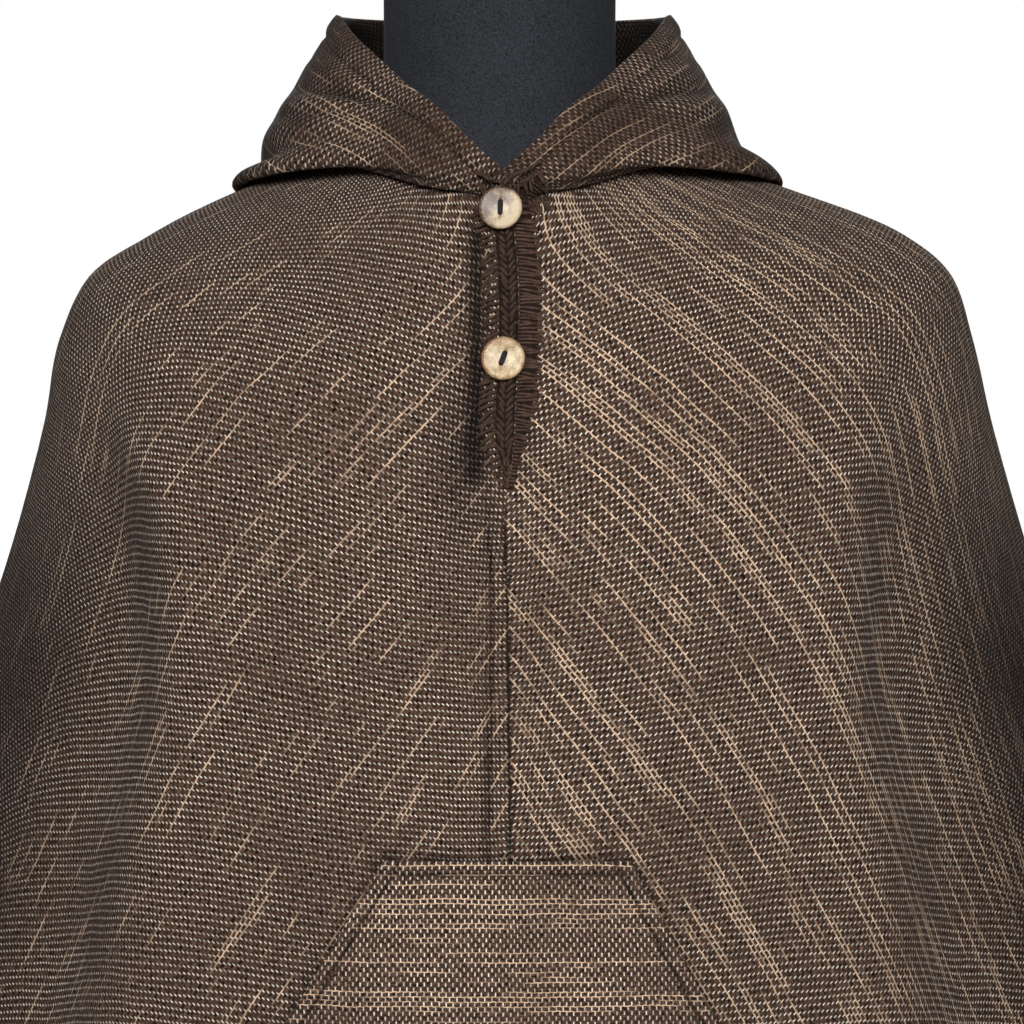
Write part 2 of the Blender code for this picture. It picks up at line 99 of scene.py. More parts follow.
FOLDS = (
    ("left", 52, 37, 0.20, 0.40, 9, 6),
    ("left", 65, 49, 0.20, 0.45, -16, 8),
    ("left", 82, 74, 0.30, 0.80, 8, 13),
    ("left", 128, 136, 0.20, 0.55, -20, 10),
    ("left", 142, 150, 0.20, 0.55, 12, 8),
    ("left", 96, 100, 0.45, 1.00, -9, 9),
    ("left", 168, 165, 0.35, 1.00, -7, 8),
    ("right", 44, 36, 0.20, 0.42, 9, 6),
    ("right", 57, 48, 0.20, 0.45, -16, 8),
    ("right", 84, 76, 0.30, 0.80, 8, 13),
    ("right", 126, 133, 0.20, 0.55, -22, 10),
    ("right", 140, 147, 0.20, 0.55, 13, 8),
    ("right", 100, 104, 0.45, 1.00, -8, 9),
    ("right", 172, 168, 0.35, 1.00, -6, 8),
)
HOOD_COLUMNS = ("angle", "under_r", "under_z", "turn_r", "turn_z", "face_r", "face_z", "rim_r", "rim_z")
HOOD_SECTIONS = (
    (0, 93, -10, 95, -7, 96, -4, 95, 0),
    (10, 94, -9, 96, -5, 97, 3, 94, 15),
    (20, 95, -8, 99, -2, 99, 13, 93, 31),
    (45, 94, 1, 104, 6, 97, 28, 79, 52),
    (70, 106, 12, 132, 3, 119, 34, 83, 74),
    (90, 112, 16, 143, 0, 121, 36, 87, 87),
    (120, 118, 12, 155, -18, 136, 34, 101, 92),
    (150, 126, -12, 174, -110, 180, -10, 134, 96),
    (180, 127, -40, 162, -178, 194, -60, 150, 97),
    (210, 126, -12, 174, -110, 180, -10, 134, 96),
)
FORM_COLUMNS = ("row", "left", "right", "front", "back", "z_side", "z_front", "z_back", "square")
FORM_NECK = (
    (0, 65, 61, 58, 58, 105, 105, 105, 2.0),
    (1, 65, 61, 59, 59, 60, 58, 62, 2.0),
    (2, 67, 64, 65, 60, 34, 18, 52, 2.0),
)
FORM_TORSO = (
    (0, 226, 236, 118, 116, -68, -186, -150, 2.2),
    (1, 224, 232, 119, 116, -112, -218, -190, 2.3),
    (2, 212, 218, 118, 115, -176, -262, -240, 2.3),
    (3, 194, 198, 114, 110, -248, -306, -292, 2.3),
    (4, 176, 178, 106, 104, -322, -350, -346, 2.3),
    (5, 166, 167, 102, 100, -400, -400, -400, 2.3),
    (6, 171, 171, 107, 103, -470, -470, -470, 2.3),
    (7, 181, 181, 113, 109, -530, -530, -530, 2.3),
    (8, 184, 184, 115, 111, -565, -565, -565, 2.3),
    (9, 178, 178, 110, 106, -590, -590, -590, 2.3),
)
FORM_INSET = WALL + 0.4 * MM
FORM_CHEST_INSET = 11 * MM
# Height of each of the pocket's corners, with x of its left and its right edge there
POCKET_EDGES = ((-361, -61, 65), (-525, -158, 152), (-600, -162, 158))
POCKET_GAP = 0.5 * MM
POCKET_BULGE = 3.4 * MM
POCKET_MOUTH = 1.6 * MM

# Creases that only the finished cloth has, each along three places on one half.
# Angle in degrees and t down the ring; height and half width in millimetres.
CREASE_COLUMNS = ("side", "start", "middle", "end", "height", "width")
CREASES = (
    ("left", (7.5, 0.115), (6.0, 0.18), (2.2, 0.29), -4.5, 11),
    ("right", (4.5, 0.15), (4.2, 0.21), (3.0, 0.28), -2.2, 8),
    ("left", (18, 0.05), (30, 0.16), (41, 0.30), 2.4, 17),
    ("right", (16, 0.05), (27, 0.17), (37, 0.33), 2.6, 18),
    ("left", (38, 0.08), (50, 0.14), (62, 0.24), -2.2, 15),
    ("right", (36, 0.08), (47, 0.15), (58, 0.26), -2.4, 16),
    ("left", (24, 0.36), (22, 0.62), (20, 0.97), -3.2, 22),
    ("right", (22, 0.40), (23, 0.64), (21, 0.98), -3.0, 24),
    ("left", (56, 0.55), (52, 0.78), (50, 1.0), 3.0, 12),
    ("right", (60, 0.50), (57, 0.74), (55, 1.0), 2.6, 13),
    ("left", (112, 0.30), (110, 0.60), (113, 1.0), 4.0, 16),
    ("right", (113, 0.34), (116, 0.62), (114, 1.0), 3.6, 15),
    ("left", (152, 0.10), (156, 0.32), (160, 0.62), -2.6, 18),
    ("right", (150, 0.12), (158, 0.36), (161, 0.70), -2.8, 17),
    ("left", (170, 0.45), (172, 0.70), (175, 1.0), 3.0, 15),
    ("right", (166, 0.22), (171, 0.50), (177, 0.80), 2.4, 14),
    ("left", (100, 0.12), (98, 0.24), (95, 0.40), 1.8, 20),
    ("right", (103, 0.12), (99, 0.26), (97, 0.44), 1.8, 20),
)

# Folds of the hood's wall: u runs from the rim to the seam, slope is its change along the fold, and dark is
# its painted shade
HOOD_CREASE_COLUMNS = ("side", "angle", "half_length", "u", "slope", "width", "height", "dark")
HOOD_CREASES = (
    ("left", 88, 36, 0.385, 0.02, 0.052, -10.5, 0.10),
    ("left", 92, 30, 0.520, 0.02, 0.060, 2.0, 0.0),
    ("right", 88, 36, 0.330, 0.02, 0.055, -6.5, 0.10),
    ("right", 92, 30, 0.480, 0.02, 0.060, 1.5, 0.0),
    ("left", 66, 40, 0.110, 0.01, 0.022, 1.3, 0.0),
    ("left", 62, 40, 0.165, 0.02, 0.024, -2.4, 0.50),
    ("left", 66, 34, 0.215, 0.02, 0.026, 1.3, 0.0),
    ("left", 74, 26, 0.262, 0.01, 0.032, -1.8, 0.42),
    ("right", 64, 38, 0.115, 0.01, 0.024, 1.2, 0.0),
    ("right", 68, 36, 0.170, 0.02, 0.026, -2.3, 0.50),
    ("right", 66, 32, 0.225, 0.01, 0.026, 1.2, 0.0),
    ("right", 78, 26, 0.270, 0.02, 0.034, -1.7, 0.40),
    ("left", 36, 26, 0.640, 0.0, 0.090, -2.5, 0.62),
    ("right", 38, 24, 0.640, 0.0, 0.090, -2.5, 0.60),
    ("left", 140, 30, 0.330, 0.10, 0.060, -3.0, 0.20),
    ("right", 138, 30, 0.300, 0.12, 0.060, -3.0, 0.20),
    ("left", 165, 22, 0.520, 0.06, 0.070, 3.0, 0.0),
    ("right", 162, 24, 0.560, -0.06, 0.070, 3.0, 0.0),
)

# Finish of the cloth ----------------------------------------------------------------
SEAM_COLUMNS = 16           # close columns beside each seam
SEAM_SPREAD = 1.6           # degrees that they take up
PANEL_COLUMNS = 186
PANEL_ROWS = 186
HOOD_COLUMNS_ROUND = 280
HOOD_ROWS = 96
POCKET_ROWS = 120
POCKET_CELLS_ACROSS = 150
FLAT_COLUMNS = 50           # grid that the flat pattern is worked out on
FLAT_ROWS = 26
FLAT_ROUNDS = 45            # rounds of stretching it out, from a fan with a neck of that radius
FLAT_NECK_RADIUS = 0.12
LEAST_STIFFNESS = 0.02      # of an edge between blunt corners
STREAK_ANGLE = {"left": 27, "right": 25}      # from the front seam, in degrees
# How far the hood's seam has bent them upright: each pull with the reach over which it fades
NECK_PULLS = {"left": ((0.5, 28 * MM), (0.75, 130 * MM)), "right": ((0.8, 28 * MM), (0.9, 130 * MM))}
# Painted shade on the cloth: in the big fold at each side, and beside the slit as (dark, x, half width)
LOBE_SHADE = {"left": 0.63, "right": 0.8}
SLIT_SHADE = {"left": (0.86, 14.0, 5.5), "right": (0.35, 12, 4)}
# Painted shade in dimples of the front: side, dark, x and its half width, height and its half width
SHADED_DIMPLES = (
    ("left", 0.5, 22, 15, -156, 44),
    ("left", 0.6, 7, 6, -12, 9),
    ("right", 0.6, 12, 10, -12, 9),
)
# How dark the painted shadow beside the pocket is
POCKET_SHADE = 0.8
# Most painted shade that a point takes
DARKEST = 0.9               # more than this would hide the weave
HEM_DEPTH = 22 * MM
HOOD_HEM = 14 * MM
POCKET_SIDE_HEM = 8 * MM
POCKET_TOP_HEM = 6.5 * MM


# Smooth tables and surfaces ---------------------------------------------------------
def smooth(xs, ys, at):
    """Smooth curve through points; ys may hold whole rows of points."""
    xs, ys, at = np.asarray(xs, float), np.asarray(ys, float), np.asarray(at, float)
    trailing = (1,) * (ys.ndim - 1)
    steps = np.diff(xs).reshape(-1, *trailing)
    slopes = np.diff(ys, axis=0) / steps
    tangents = np.concatenate([
        slopes[:1],
        (slopes[:-1] * steps[1:] + slopes[1:] * steps[:-1]) / (steps[:-1] + steps[1:]),
        slopes[-1:],
    ])
    at = np.clip(at, xs[0], xs[-1])
    i = np.clip(np.searchsorted(xs, at, "right") - 1, 0, len(xs) - 2)
    step = steps[i]
    u = (at - xs[i]).reshape(*at.shape, *trailing) / step
    return (
        ys[i] * (1 + 2 * u) * (1 - u) ** 2
        + ys[i + 1] * u * u * (3 - 2 * u)
        + step * u * (1 - u) * (tangents[i] * (1 - u) - tangents[i + 1] * u)
    )


def column(table, columns, name, at):
    place = columns.index(name)
    return smooth([row[0] for row in table], [row[place] for row in table], at)


def ramp(at, start, full):
    u = np.clip((at - start) / (full - start), 0, 1)
    return u * u * (3 - 2 * u)


def bump(at, centre, width):
    return np.exp(-((at - centre) / width) ** 2)


def unit(vectors):
    return vectors / np.maximum(np.linalg.norm(vectors, axis=-1, keepdims=True), 1e-12)


def ring_points(row, side, angle):
    power = 2 / row["square"]
    facing = np.cos(angle)
    depth = np.where(facing > 0, row["front"], row["back"])
    end = np.where(facing > 0, row["z_front"], row["z_back"])
    x = SIDES[side] * row[side] * np.abs(np.sin(angle)) ** power
    y = -np.sign(facing) * depth * np.abs(facing) ** power
    z = row["z_side"] + (end - row["z_side"]) * facing**2
    return np.stack(np.broadcast_arrays(x, y, z), -1) * MM + [0, 0, V_HEIGHT]


def body_row(t):
    return {name: column(BODY_RINGS, RING_COLUMNS, name, t) for name in RING_COLUMNS[1:]}


def centre_x(t):
    return column(CENTRE_LINE, CENTRE_COLUMNS, "x", t) * MM


def body_base(side, angle, t):
    row = body_row(t)
    points = ring_points(row, side, angle)
    points[..., 0] += centre_x(t) * np.maximum(np.cos(angle), 0) ** 8
    points[..., 1] += row["sweep"] * MM * np.sin(angle) ** 2
    return points


def body_normal(side, angle, t):
    reach, step = 0.01, 0.005
    angle = np.clip(angle, 2 * reach, math.pi - 2 * reach)
    round_it = body_base(side, angle + reach, t) - body_base(side, angle - reach, t)
    down = body_base(side, angle, np.minimum(t + step, 1)) - body_base(side, angle, np.maximum(t - step, 0))
    normal = unit(np.cross(down, round_it) * SIDES[side])
    outward = np.stack(np.broadcast_arrays(np.sin(angle) * SIDES[side], -np.cos(angle), 0.3 + 0 * t), -1)
    return normal * np.sign((normal * outward).sum(-1, keepdims=True))


def fold_height(side, angle, t):
    height = 0.0
    for row in FOLDS:
        fold = dict(zip(FOLD_COLUMNS, row))
        if fold["side"] == side:
            part = ramp(t, fold["t_start"], fold["t_full"])
            centre = fold["angle_top"] + (fold["angle_hem"] - fold["angle_top"]) * part
            height = height + fold["height"] * bump(np.degrees(angle), centre, fold["width"]) * part
    return height * MM


def crease_height(side, points):
    """Height of the small creases at points on one half, tapered to nothing at their ends."""
    height = np.zeros(points.shape[:-1])
    for row in CREASES:
        crease = dict(zip(CREASE_COLUMNS, row))
        if crease["side"] != side:
            continue
        places = np.array([crease["start"], crease["middle"], crease["end"]], float)
        along = smooth([0, 0.5, 1], places, np.linspace(0, 1, 15))
        line = body_base(side, np.radians(along[:, 0]), along[:, 1])
        away = np.linalg.norm(points[..., None, :] - line, axis=-1)
        nearest = away.argmin(-1)
        taper = np.sin(math.pi * (nearest + 0.5) / len(line))
        height += crease["height"] * taper * bump(away.min(-1), 0, crease["width"] * MM)
    return height * MM


def body_point(side, angle, t, out=0.0):
    """Points on the outer face of one half, or that far out from it."""
    angle, t = np.broadcast_arrays(np.asarray(angle, float), np.asarray(t, float))
    base = body_base(side, angle, t)
    height = fold_height(side, angle, t) + crease_height(side, base) + out
    points = base + body_normal(side, angle, t) * height[..., None]
    points[..., 0] += SEAM_GAP / 2 * SIDES[side]
    return points


def t_at_height(z):
    ts = np.linspace(0, 1, 400)
    return np.interp(-np.asarray(z, float), -column(BODY_RINGS, RING_COLUMNS, "z_front", ts), ts)


def front_point(x, t, out=0.0):
    """Points on the front at distances x from the centre line, on rings t."""
    x, t = np.broadcast_arrays(np.asarray(x, float), np.asarray(t, float))
    points = np.zeros((*x.shape, 3))
    for side, sign in SIDES.items():
        chosen = (x < 0) if sign < 0 else (x >= 0)
        row = body_row(t[chosen])
        angle = np.arcsin(np.minimum(np.abs(x[chosen]) / MM / row[side], 1) ** (row["square"] / 2))
        points[chosen] = body_point(side, angle, t[chosen], np.broadcast_to(out, x.shape)[chosen])
    return points


def grid_normals(grid):
    """Outward normals of a grid whose rows run down and columns run right, seen from outside."""
    down = np.gradient(grid, axis=0)
    right = np.gradient(grid, axis=1)
    return unit(np.cross(down, right))


def grid_quads(number):
    """Corners of each cell in a grid of point numbers."""
    corners = number[:-1, :-1], number[1:, :-1], number[1:, 1:], number[:-1, 1:]
    return np.stack(corners, -1).reshape(-1, 4)


def length_down(grid):
    """Length of cloth from the first row of a grid down to each point."""
    steps = np.linalg.norm(np.diff(grid, axis=0), axis=2)
    return np.concatenate([np.zeros((1, grid.shape[1])), np.cumsum(steps, axis=0)])


def grid_tree(grid, joined=False):
    rows, columns = grid.shape[:2]
    number = np.arange(rows * columns).reshape(rows, columns)
    if joined:
        number = np.concatenate([number, number[:, :1]], axis=1)
    return BVHTree.FromPolygons(grid.reshape(-1, 3).tolist(), grid_quads(number).tolist())


# Meshes -----------------------------------------------------------------------------
def new_mesh(name, verts, faces, uvs=None):
    """Object from points and faces, with each point's place in the woven pattern."""
    mesh = bpy.data.meshes.new(name)
    mesh.from_pydata(np.asarray(verts).tolist(), [], [list(map(int, face)) for face in faces])
    if uvs is not None:
        corners = np.empty(len(mesh.loops), np.int32)
        mesh.loops.foreach_get("vertex_index", corners)
        layer = mesh.uv_layers.new(name="weave")
        layer.data.foreach_set("uv", np.asarray(uvs, np.float32)[corners].ravel())
    mesh.shade_smooth()
    obj = bpy.data.objects.new(name, mesh)
    bpy.context.scene.collection.objects.link(obj)
    return obj


def cloth_wall(name, outer, inner, pattern, painted_shade=0.0, inner_painted_shade=0.0):
    """Wall of cloth between two grids, with rounded edges. Painted shade is how far each point of the
    outer face, or all of the inner one, is darkened as if it lay in the shade of a fold or a seam."""
    rows, columns = outer.shape[:2]
    count = rows * columns
    number = np.arange(count).reshape(rows, columns)
    rim = np.concatenate([number[0, :-1], number[:-1, -1], number[-1, :0:-1], number[:0:-1, 0]])
    inside = number[np.clip(rim // columns, 1, rows - 2), np.clip(rim % columns, 1, columns - 2)]
    flat_outer, flat_inner = outer.reshape(-1, 3), inner.reshape(-1, 3)
    middle = (flat_outer[rim] + flat_inner[rim]) / 2
    thickness = np.linalg.norm(flat_outer[rim] - flat_inner[rim], axis=1, keepdims=True)
    core = (flat_outer[inside] + flat_inner[inside]) / 2
    middle = middle + unit(middle - core) * thickness * 0.18
    quads = grid_quads(number)
    mid = 2 * count + np.arange(len(rim))
    after, mid_after = np.roll(rim, -1), np.roll(mid, -1)
    faces = np.concatenate([
        quads,
        quads[:, ::-1] + count,
        np.stack([rim, after, mid_after, mid], -1),
        np.stack([mid, mid_after, after + count, rim + count], -1),
    ])
    uv = pattern.reshape(-1, 2)
    verts = np.concatenate([flat_outer, flat_inner, middle])
    wall = new_mesh(name, verts, faces, np.concatenate([uv, uv, uv[rim]]))
    painted_shade = np.broadcast_to(painted_shade, (rows, columns)).ravel()
    shade = np.concatenate([painted_shade, np.full(count, inner_painted_shade), painted_shade[rim]])
    wall.data.attributes.new("painted_shade", "FLOAT", "POINT").data.foreach_set("value", shade.astype(np.float32))
    return wall


def hem_profile(distance, depth, lift=0.9 * MM, groove=0.7 * MM):
    """Relief of a turned and stitched hem at a distance from its edge."""
    puff = lift * (1 - ramp(distance, depth * 0.55, depth * 1.02))
    puff = puff * (1 - 0.45 * bump(distance, 0, depth * 0.18))
    return puff - groove * bump(distance, depth, depth * 0.09)


# Flat pattern -----------------------------------------------------------------------
CORNERS = ((0, 1, 2), (1, 2, 0), (2, 0, 1))       # each corner of a triangle, with the next two


def flat_triangles(corners):
    """Lays every triangle flat on its own, with its first edge along X."""
    along = corners[:, 1] - corners[:, 0]
    other = corners[:, 2] - corners[:, 0]
    length = np.linalg.norm(along, axis=1)
    first = along / length[:, None]
    run = (other * first).sum(1)
    rise = np.linalg.norm(other - first * run[:, None], axis=1)
    local = np.zeros((len(corners), 3, 2))
    local[:, 1, 0], local[:, 2, 0], local[:, 2, 1] = length, run, rise
    return local


def edge_weights(local):
    """How stiff the edge across from each corner is: the corner's cotangent."""
    weights = np.zeros((len(local), 3))
    for k, i, j in CORNERS:
        p, q = local[:, i] - local[:, k], local[:, j] - local[:, k]
        cross = p[:, 0] * q[:, 1] - p[:, 1] * q[:, 0]
        weights[:, k] = np.maximum((p * q).sum(1) / cross, LEAST_STIFFNESS)
    return weights


def stiffness_solver(triangles, weights, size):
    """Turns the pull on every point into its place, with the first point held."""
    stiffness = np.zeros((size, size))
    for k, i, j in CORNERS:
        u, v = triangles[:, i], triangles[:, j]
        for one, two, sign in ((u, u, 1), (v, v, 1), (u, v, -1), (v, u, -1)):
            np.add.at(stiffness, (one, two), sign * weights[:, k])
    stiffness[0] = 0
    stiffness[0, 0] = 1
    return np.linalg.inv(stiffness)


def first_fan(points):
    """A fan to start from, with each column's lengths kept."""
    radius = length_down(points) + FLAT_NECK_RADIUS
    middle = len(points) // 2
    arcs = np.linalg.norm(np.diff(points[middle], axis=0), axis=1)
    turn = np.concatenate([[0], np.cumsum(arcs / (radius[middle, 1:] + radius[middle, :-1]) * 2)])
    return np.stack([radius * np.sin(turn), -radius * np.cos(turn)], -1).reshape(-1, 2)


def flatten(points):
    """Lays a grid of points flat with its triangles kept as stiff as they can be; metres."""
    rows, columns = points.shape[:2]
    size = rows * columns
    quads = grid_quads(np.arange(size).reshape(rows, columns))
    triangles = np.concatenate([quads[:, :3], quads[:, [0, 2, 3]]])
    local = flat_triangles(points.reshape(-1, 3)[triangles])
    weights = edge_weights(local)
    solver = stiffness_solver(triangles, weights, size)
    flat = first_fan(points)
    for _ in range(FLAT_ROUNDS):
        # How each triangle has turned in the plane, then where its edges pull its corners
        spin = np.zeros((len(triangles), 2, 2))
        for k, i, j in CORNERS:
            now = flat[triangles[:, i]] - flat[triangles[:, j]]
            rest = local[:, i] - local[:, j]
            spin += weights[:, k, None, None] * now[:, :, None] * rest[:, None, :]
        bend = np.arctan2(spin[:, 1, 0] - spin[:, 0, 1], spin[:, 0, 0] + spin[:, 1, 1])
        turned = np.stack([
            np.stack([np.cos(bend), -np.sin(bend)], -1), np.stack([np.sin(bend), np.cos(bend)], -1)
        ], -2)
        pull = np.zeros((size, 2))
        for k, i, j in CORNERS:
            edge = np.einsum("nij,nj->ni", turned, local[:, i] - local[:, j]) * weights[:, k, None]
            np.add.at(pull, triangles[:, i], edge)
            np.add.at(pull, triangles[:, j], -edge)
        pull[0] = flat[0]
        flat = solver @ pull
    return flat.reshape(rows, columns, 2)


def finer(grid, rows_at, columns_at):
    """Reads a grid at places between its points, rows first."""
    grid = smooth(np.arange(grid.shape[0]), grid, rows_at)
    return smooth(np.arange(grid.shape[1]), grid.swapaxes(0, 1), columns_at).swapaxes(0, 1)


# Poncho body ------------------------------------------------------------------------
def panel_angles():
    edge = np.linspace(0, SEAM_SPREAD, SEAM_COLUMNS, endpoint=False)
    middle = np.linspace(SEAM_SPREAD, 180 - SEAM_SPREAD, PANEL_COLUMNS)
    return np.radians(np.concatenate([edge, middle, 180 - edge[::-1]]))


def panel_pattern(side, angles, ts):
    """Place of each point in the weave: first along the tan yarns, then across them."""
    coarse_angles = np.linspace(0, math.pi, FLAT_COLUMNS + 1)
    coarse_ts = np.linspace(0, 1, FLAT_ROWS + 1)
    points = body_point(side, coarse_angles[None], coarse_ts[:, None])
    flat = flatten(points)
    edge = flat[FLAT_ROWS * 9 // 10, 0] - flat[FLAT_ROWS * 3 // 10, 0]
    down = edge / np.linalg.norm(edge)
    inward = flat[FLAT_ROWS // 2, 4] - flat[FLAT_ROWS // 2, 0]
    inward = inward - down * (inward @ down)
    inward /= np.linalg.norm(inward)
    lean = math.radians(STREAK_ANGLE[side])
    along = down * math.cos(lean) + inward * math.sin(lean)
    across = inward * math.cos(lean) - down * math.sin(lean)
    pattern = np.stack([flat @ along, flat @ across], -1)
    pattern = finer(pattern, ts * FLAT_ROWS, angles / math.pi * FLAT_COLUMNS)
    from_neck = length_down(body_point(side, angles[None], ts[:, None]))
    # Below the neckline the yarns turn upright: less of the way down counts as across them
    slope = (pattern[4, :, 1] - pattern[0, :, 1]) / from_neck[4]
    pull = sum(part * reach * (1 - np.exp(-from_neck / reach)) for part, reach in NECK_PULLS[side])
    pattern[..., 1] -= slope * pull * np.maximum(np.cos(angles), 0) ** 0.5
    return pattern


def pocket_edges(z):
    """Where the pocket's left and right edges lie at a height, in millimetres."""
    heights, left, right = zip(*POCKET_EDGES[::-1])
    return np.interp(z, heights, left), np.interp(z, heights, right)


def pocket_shadow(x, z):
    """Painted shadow on the body cloth close beside the pocket's edges."""
    left, right = pocket_edges(z)
    top, bottom = POCKET_EDGES[0][0], POCKET_EDGES[-1][0]
    level = ramp(-z, -top - 1, -top + 2) * (1 - ramp(-z, -bottom, -bottom + 3))
    beside = np.maximum(bump(x, left - 1, 2.6), bump(x, right + 1, 2.6)) * level
    _, first, last = POCKET_EDGES[0]
    above = bump(z, top + 1, 2.2) * ramp(x, first - 3, first) * (1 - ramp(x, last, last + 3))
    return POCKET_SHADE * np.maximum(beside, above)


def panel_painted_shade(side, points, angles, from_front, stitched, below_slit):
    """Painted shade of the seam, the cloth beside the slit and under the hood, the dimples and the folds,
    with the painted shadow beside the pocket.
    """
    x = (points[..., 0] / MM) * SIDES[side]
    z = (points[..., 2] - V_HEIGHT) / MM
    front = (np.cos(angles) > 0)[None] * 1.0
    degrees = np.degrees(angles)[None]
    # Painted shade along the seam's groove, and on the left along its second row of sewing
    painted_shade = 0.75 * below_slit * bump(from_front, 0, 1.0 * MM)
    if side == "left":
        painted_shade = painted_shade + 0.7 * below_slit * bump(from_front, stitched, 0.9 * MM)
    # Painted shade beside the slit, under the crocheted edges
    dark, centre, width = SLIT_SHADE[side]
    beside_slit = ramp(z, TRIM_BOTTOM - 5, TRIM_BOTTOM + 15) * ramp(-z, 22, 34) * front
    painted_shade = painted_shade + dark * beside_slit * bump(x, centre, width)
    # Painted shade in the dimples
    for dimple_side, dark, centre, width, height, reach in SHADED_DIMPLES:
        if dimple_side == side:
            painted_shade = painted_shade + dark * front * bump(x, centre, width) * bump(z, height, reach)
    # Painted shadow on the body cloth just under the hood
    from_neck = np.linalg.norm(points - points[:1], axis=-1)
    under_hood = ramp(degrees, 14, 34) * (1 - ramp(degrees, 100, 130))
    painted_shade = painted_shade + 0.40 * np.exp(-from_neck / (9 * MM)) * under_hood
    # Painted shade in the big fold at each side, and the painted shadow beside the pocket
    lobe = ramp(degrees, 44, 66) * (1 - ramp(degrees, 100, 125)) * ramp(-z, 110, 270)
    painted_shade = painted_shade + LOBE_SHADE[side] * lobe + front * pocket_shadow(points[..., 0] / MM, z)
    return np.minimum(painted_shade, DARKEST)


def build_panel(side):
    angles = panel_angles()
    ts = np.linspace(0, 1, PANEL_ROWS + 1)
    outer = body_point(side, angles[None], ts[:, None])
    from_front = np.abs(outer[..., 0] - outer[:, :1, 0])
    height = (outer[..., 2] - V_HEIGHT) / MM
    below_slit = ramp(-height, -TRIM_BOTTOM, -TRIM_BOTTOM + 30) * (np.cos(angles)[None] > 0)
    # The seam is a groove, and on one half the turned edge is sewn down in a second row
    stitched = (7.6 + 0.027 * np.maximum(-225 - height, 0)) * MM
    relief = -1.0 * MM * bump(from_front, 0, 1.4 * MM) * below_slit
    if side == "left":
        relief = relief + below_slit * (
            1.0 * MM * (1 - ramp(from_front, stitched - 2 * MM, stitched))
            - 1.0 * MM * bump(from_front, stitched, 1.0 * MM)
        )
    painted_shade = panel_painted_shade(side, outer, angles, from_front, stitched, below_slit)
    lengths = length_down(outer)
    from_hem = lengths[-1] - lengths
    relief = relief + hem_profile(from_hem, HEM_DEPTH)
    # Painted shade in the hem's groove
    painted_shade = np.maximum(painted_shade, 0.5 * bump(from_hem, HEM_DEPTH, 1.2 * MM))
    normals = body_normal(side, angles[None], ts[:, None])
    inner = outer - normals * WALL
    inner[:, 0, 0], inner[:, -1, 0] = outer[:, 0, 0], outer[:, -1, 0]
    outer = outer + normals * relief[..., None]
    pattern = panel_pattern(side, angles, ts)
    if side == "left":
        outer, inner, pattern, painted_shade = outer[:, ::-1], inner[:, ::-1], pattern[:, ::-1], painted_shade[:, ::-1]
    # The inner face is painted in shade
    return cloth_wall(f"{side}_panel", outer, inner, pattern, painted_shade, 0.35)


def body_grid(side, columns=72, rows=60):
    grid = body_point(side, np.linspace(0, math.pi, columns + 1)[None], np.linspace(0, 1, rows + 1)[:, None])
    return grid[:, ::-1] if side == "left" else grid


def body_tree():
    return grid_tree(np.concatenate([body_grid("left"), body_grid("right")], axis=1), joined=True)


# Hood -------------------------------------------------------------------------------
def hood_points(turns, us):
    """Middle of the hood's wall: columns round the neck, rows from the rim down to the seam."""
    right = turns <= math.pi
    angle = np.where(right, turns, math.tau - turns)
    sign = np.where(right, 1.0, -1.0)
    seam = np.where(
        right[:, None],
        body_point("right", angle, 0.0, SEAM_GAP + WALL / 2),
        body_point("left", angle, 0.0, SEAM_GAP + WALL / 2),
    )
    seam[:, 0] += sign * HOOD_FRONT_GAP / 2
    sections = [seam]
    for name in ("under", "turn", "face", "rim"):
        radius = column(HOOD_SECTIONS, HOOD_COLUMNS, f"{name}_r", np.degrees(angle)) * MM
        height = column(HOOD_SECTIONS, HOOD_COLUMNS, f"{name}_z", np.degrees(angle)) * MM
        if name == "turn":
            radius = np.where(right, radius * HOOD_RIGHT_TURN, radius)
        x = sign * (radius * np.sin(angle) + HOOD_FRONT_GAP / 2)
        sections.append(np.stack([x, -radius * np.cos(angle), V_HEIGHT + height], -1))
    return catmull_rom(np.array(sections), 1 - us)


def catmull_rom(points, us):
    spans = len(points) - 1
    i = np.minimum((us * spans).astype(int), spans - 1)
    f = (us * spans - i).reshape(-1, *(1,) * (points.ndim - 1))
    ends = np.concatenate([[points[0] * 2 - points[1]], points, [points[-1] * 2 - points[-2]]])
    before, a, b, after = ends[i], ends[i + 1], ends[i + 2], ends[i + 3]
    return 0.5 * (
        2 * a
        + (b - before) * f
        + (2 * before - 5 * a + 4 * b - after) * f * f
        + (3 * a - before - 3 * b + after) * f**3
    )


def keep_clear(points, tree, distance):
    """Points moved out of a surface, to at least a distance from it."""
    moved = points.copy()
    for place in np.ndindex(points.shape[:-1]):
        point = Vector(points[place])
        near, normal, _, _ = tree.find_nearest(point)
        if (point - near).dot(normal) < distance:
            moved[place] = near + normal * distance
    return moved


def hood_pattern(turns, us):
    """Place of each point in the weave, with each half of the hood laid flat on its own."""
    half = len(turns) // 2
    rows = np.linspace(0, 1, FLAT_ROWS + 1)
    halves = []
    for part, flip in ((turns[:half], 1), (turns[half:], -1)):
        coarse = np.linspace(part[0], part[-1], FLAT_COLUMNS + 1)
        flat = flatten(hood_points(coarse, rows))
        near, far = (5, 24) if flip > 0 else (FLAT_COLUMNS - 5, FLAT_COLUMNS - 24)
        along = unit(flat[2, far] - flat[2, near])
        across = np.array([-along[1], along[0]])
        pattern = np.stack([flat @ along, flat @ across], -1)
        columns = (part - part[0]) / (part[-1] - part[0]) * FLAT_COLUMNS
        halves.append(finer(pattern, us * FLAT_ROWS, columns))
    return np.concatenate(halves, axis=1)


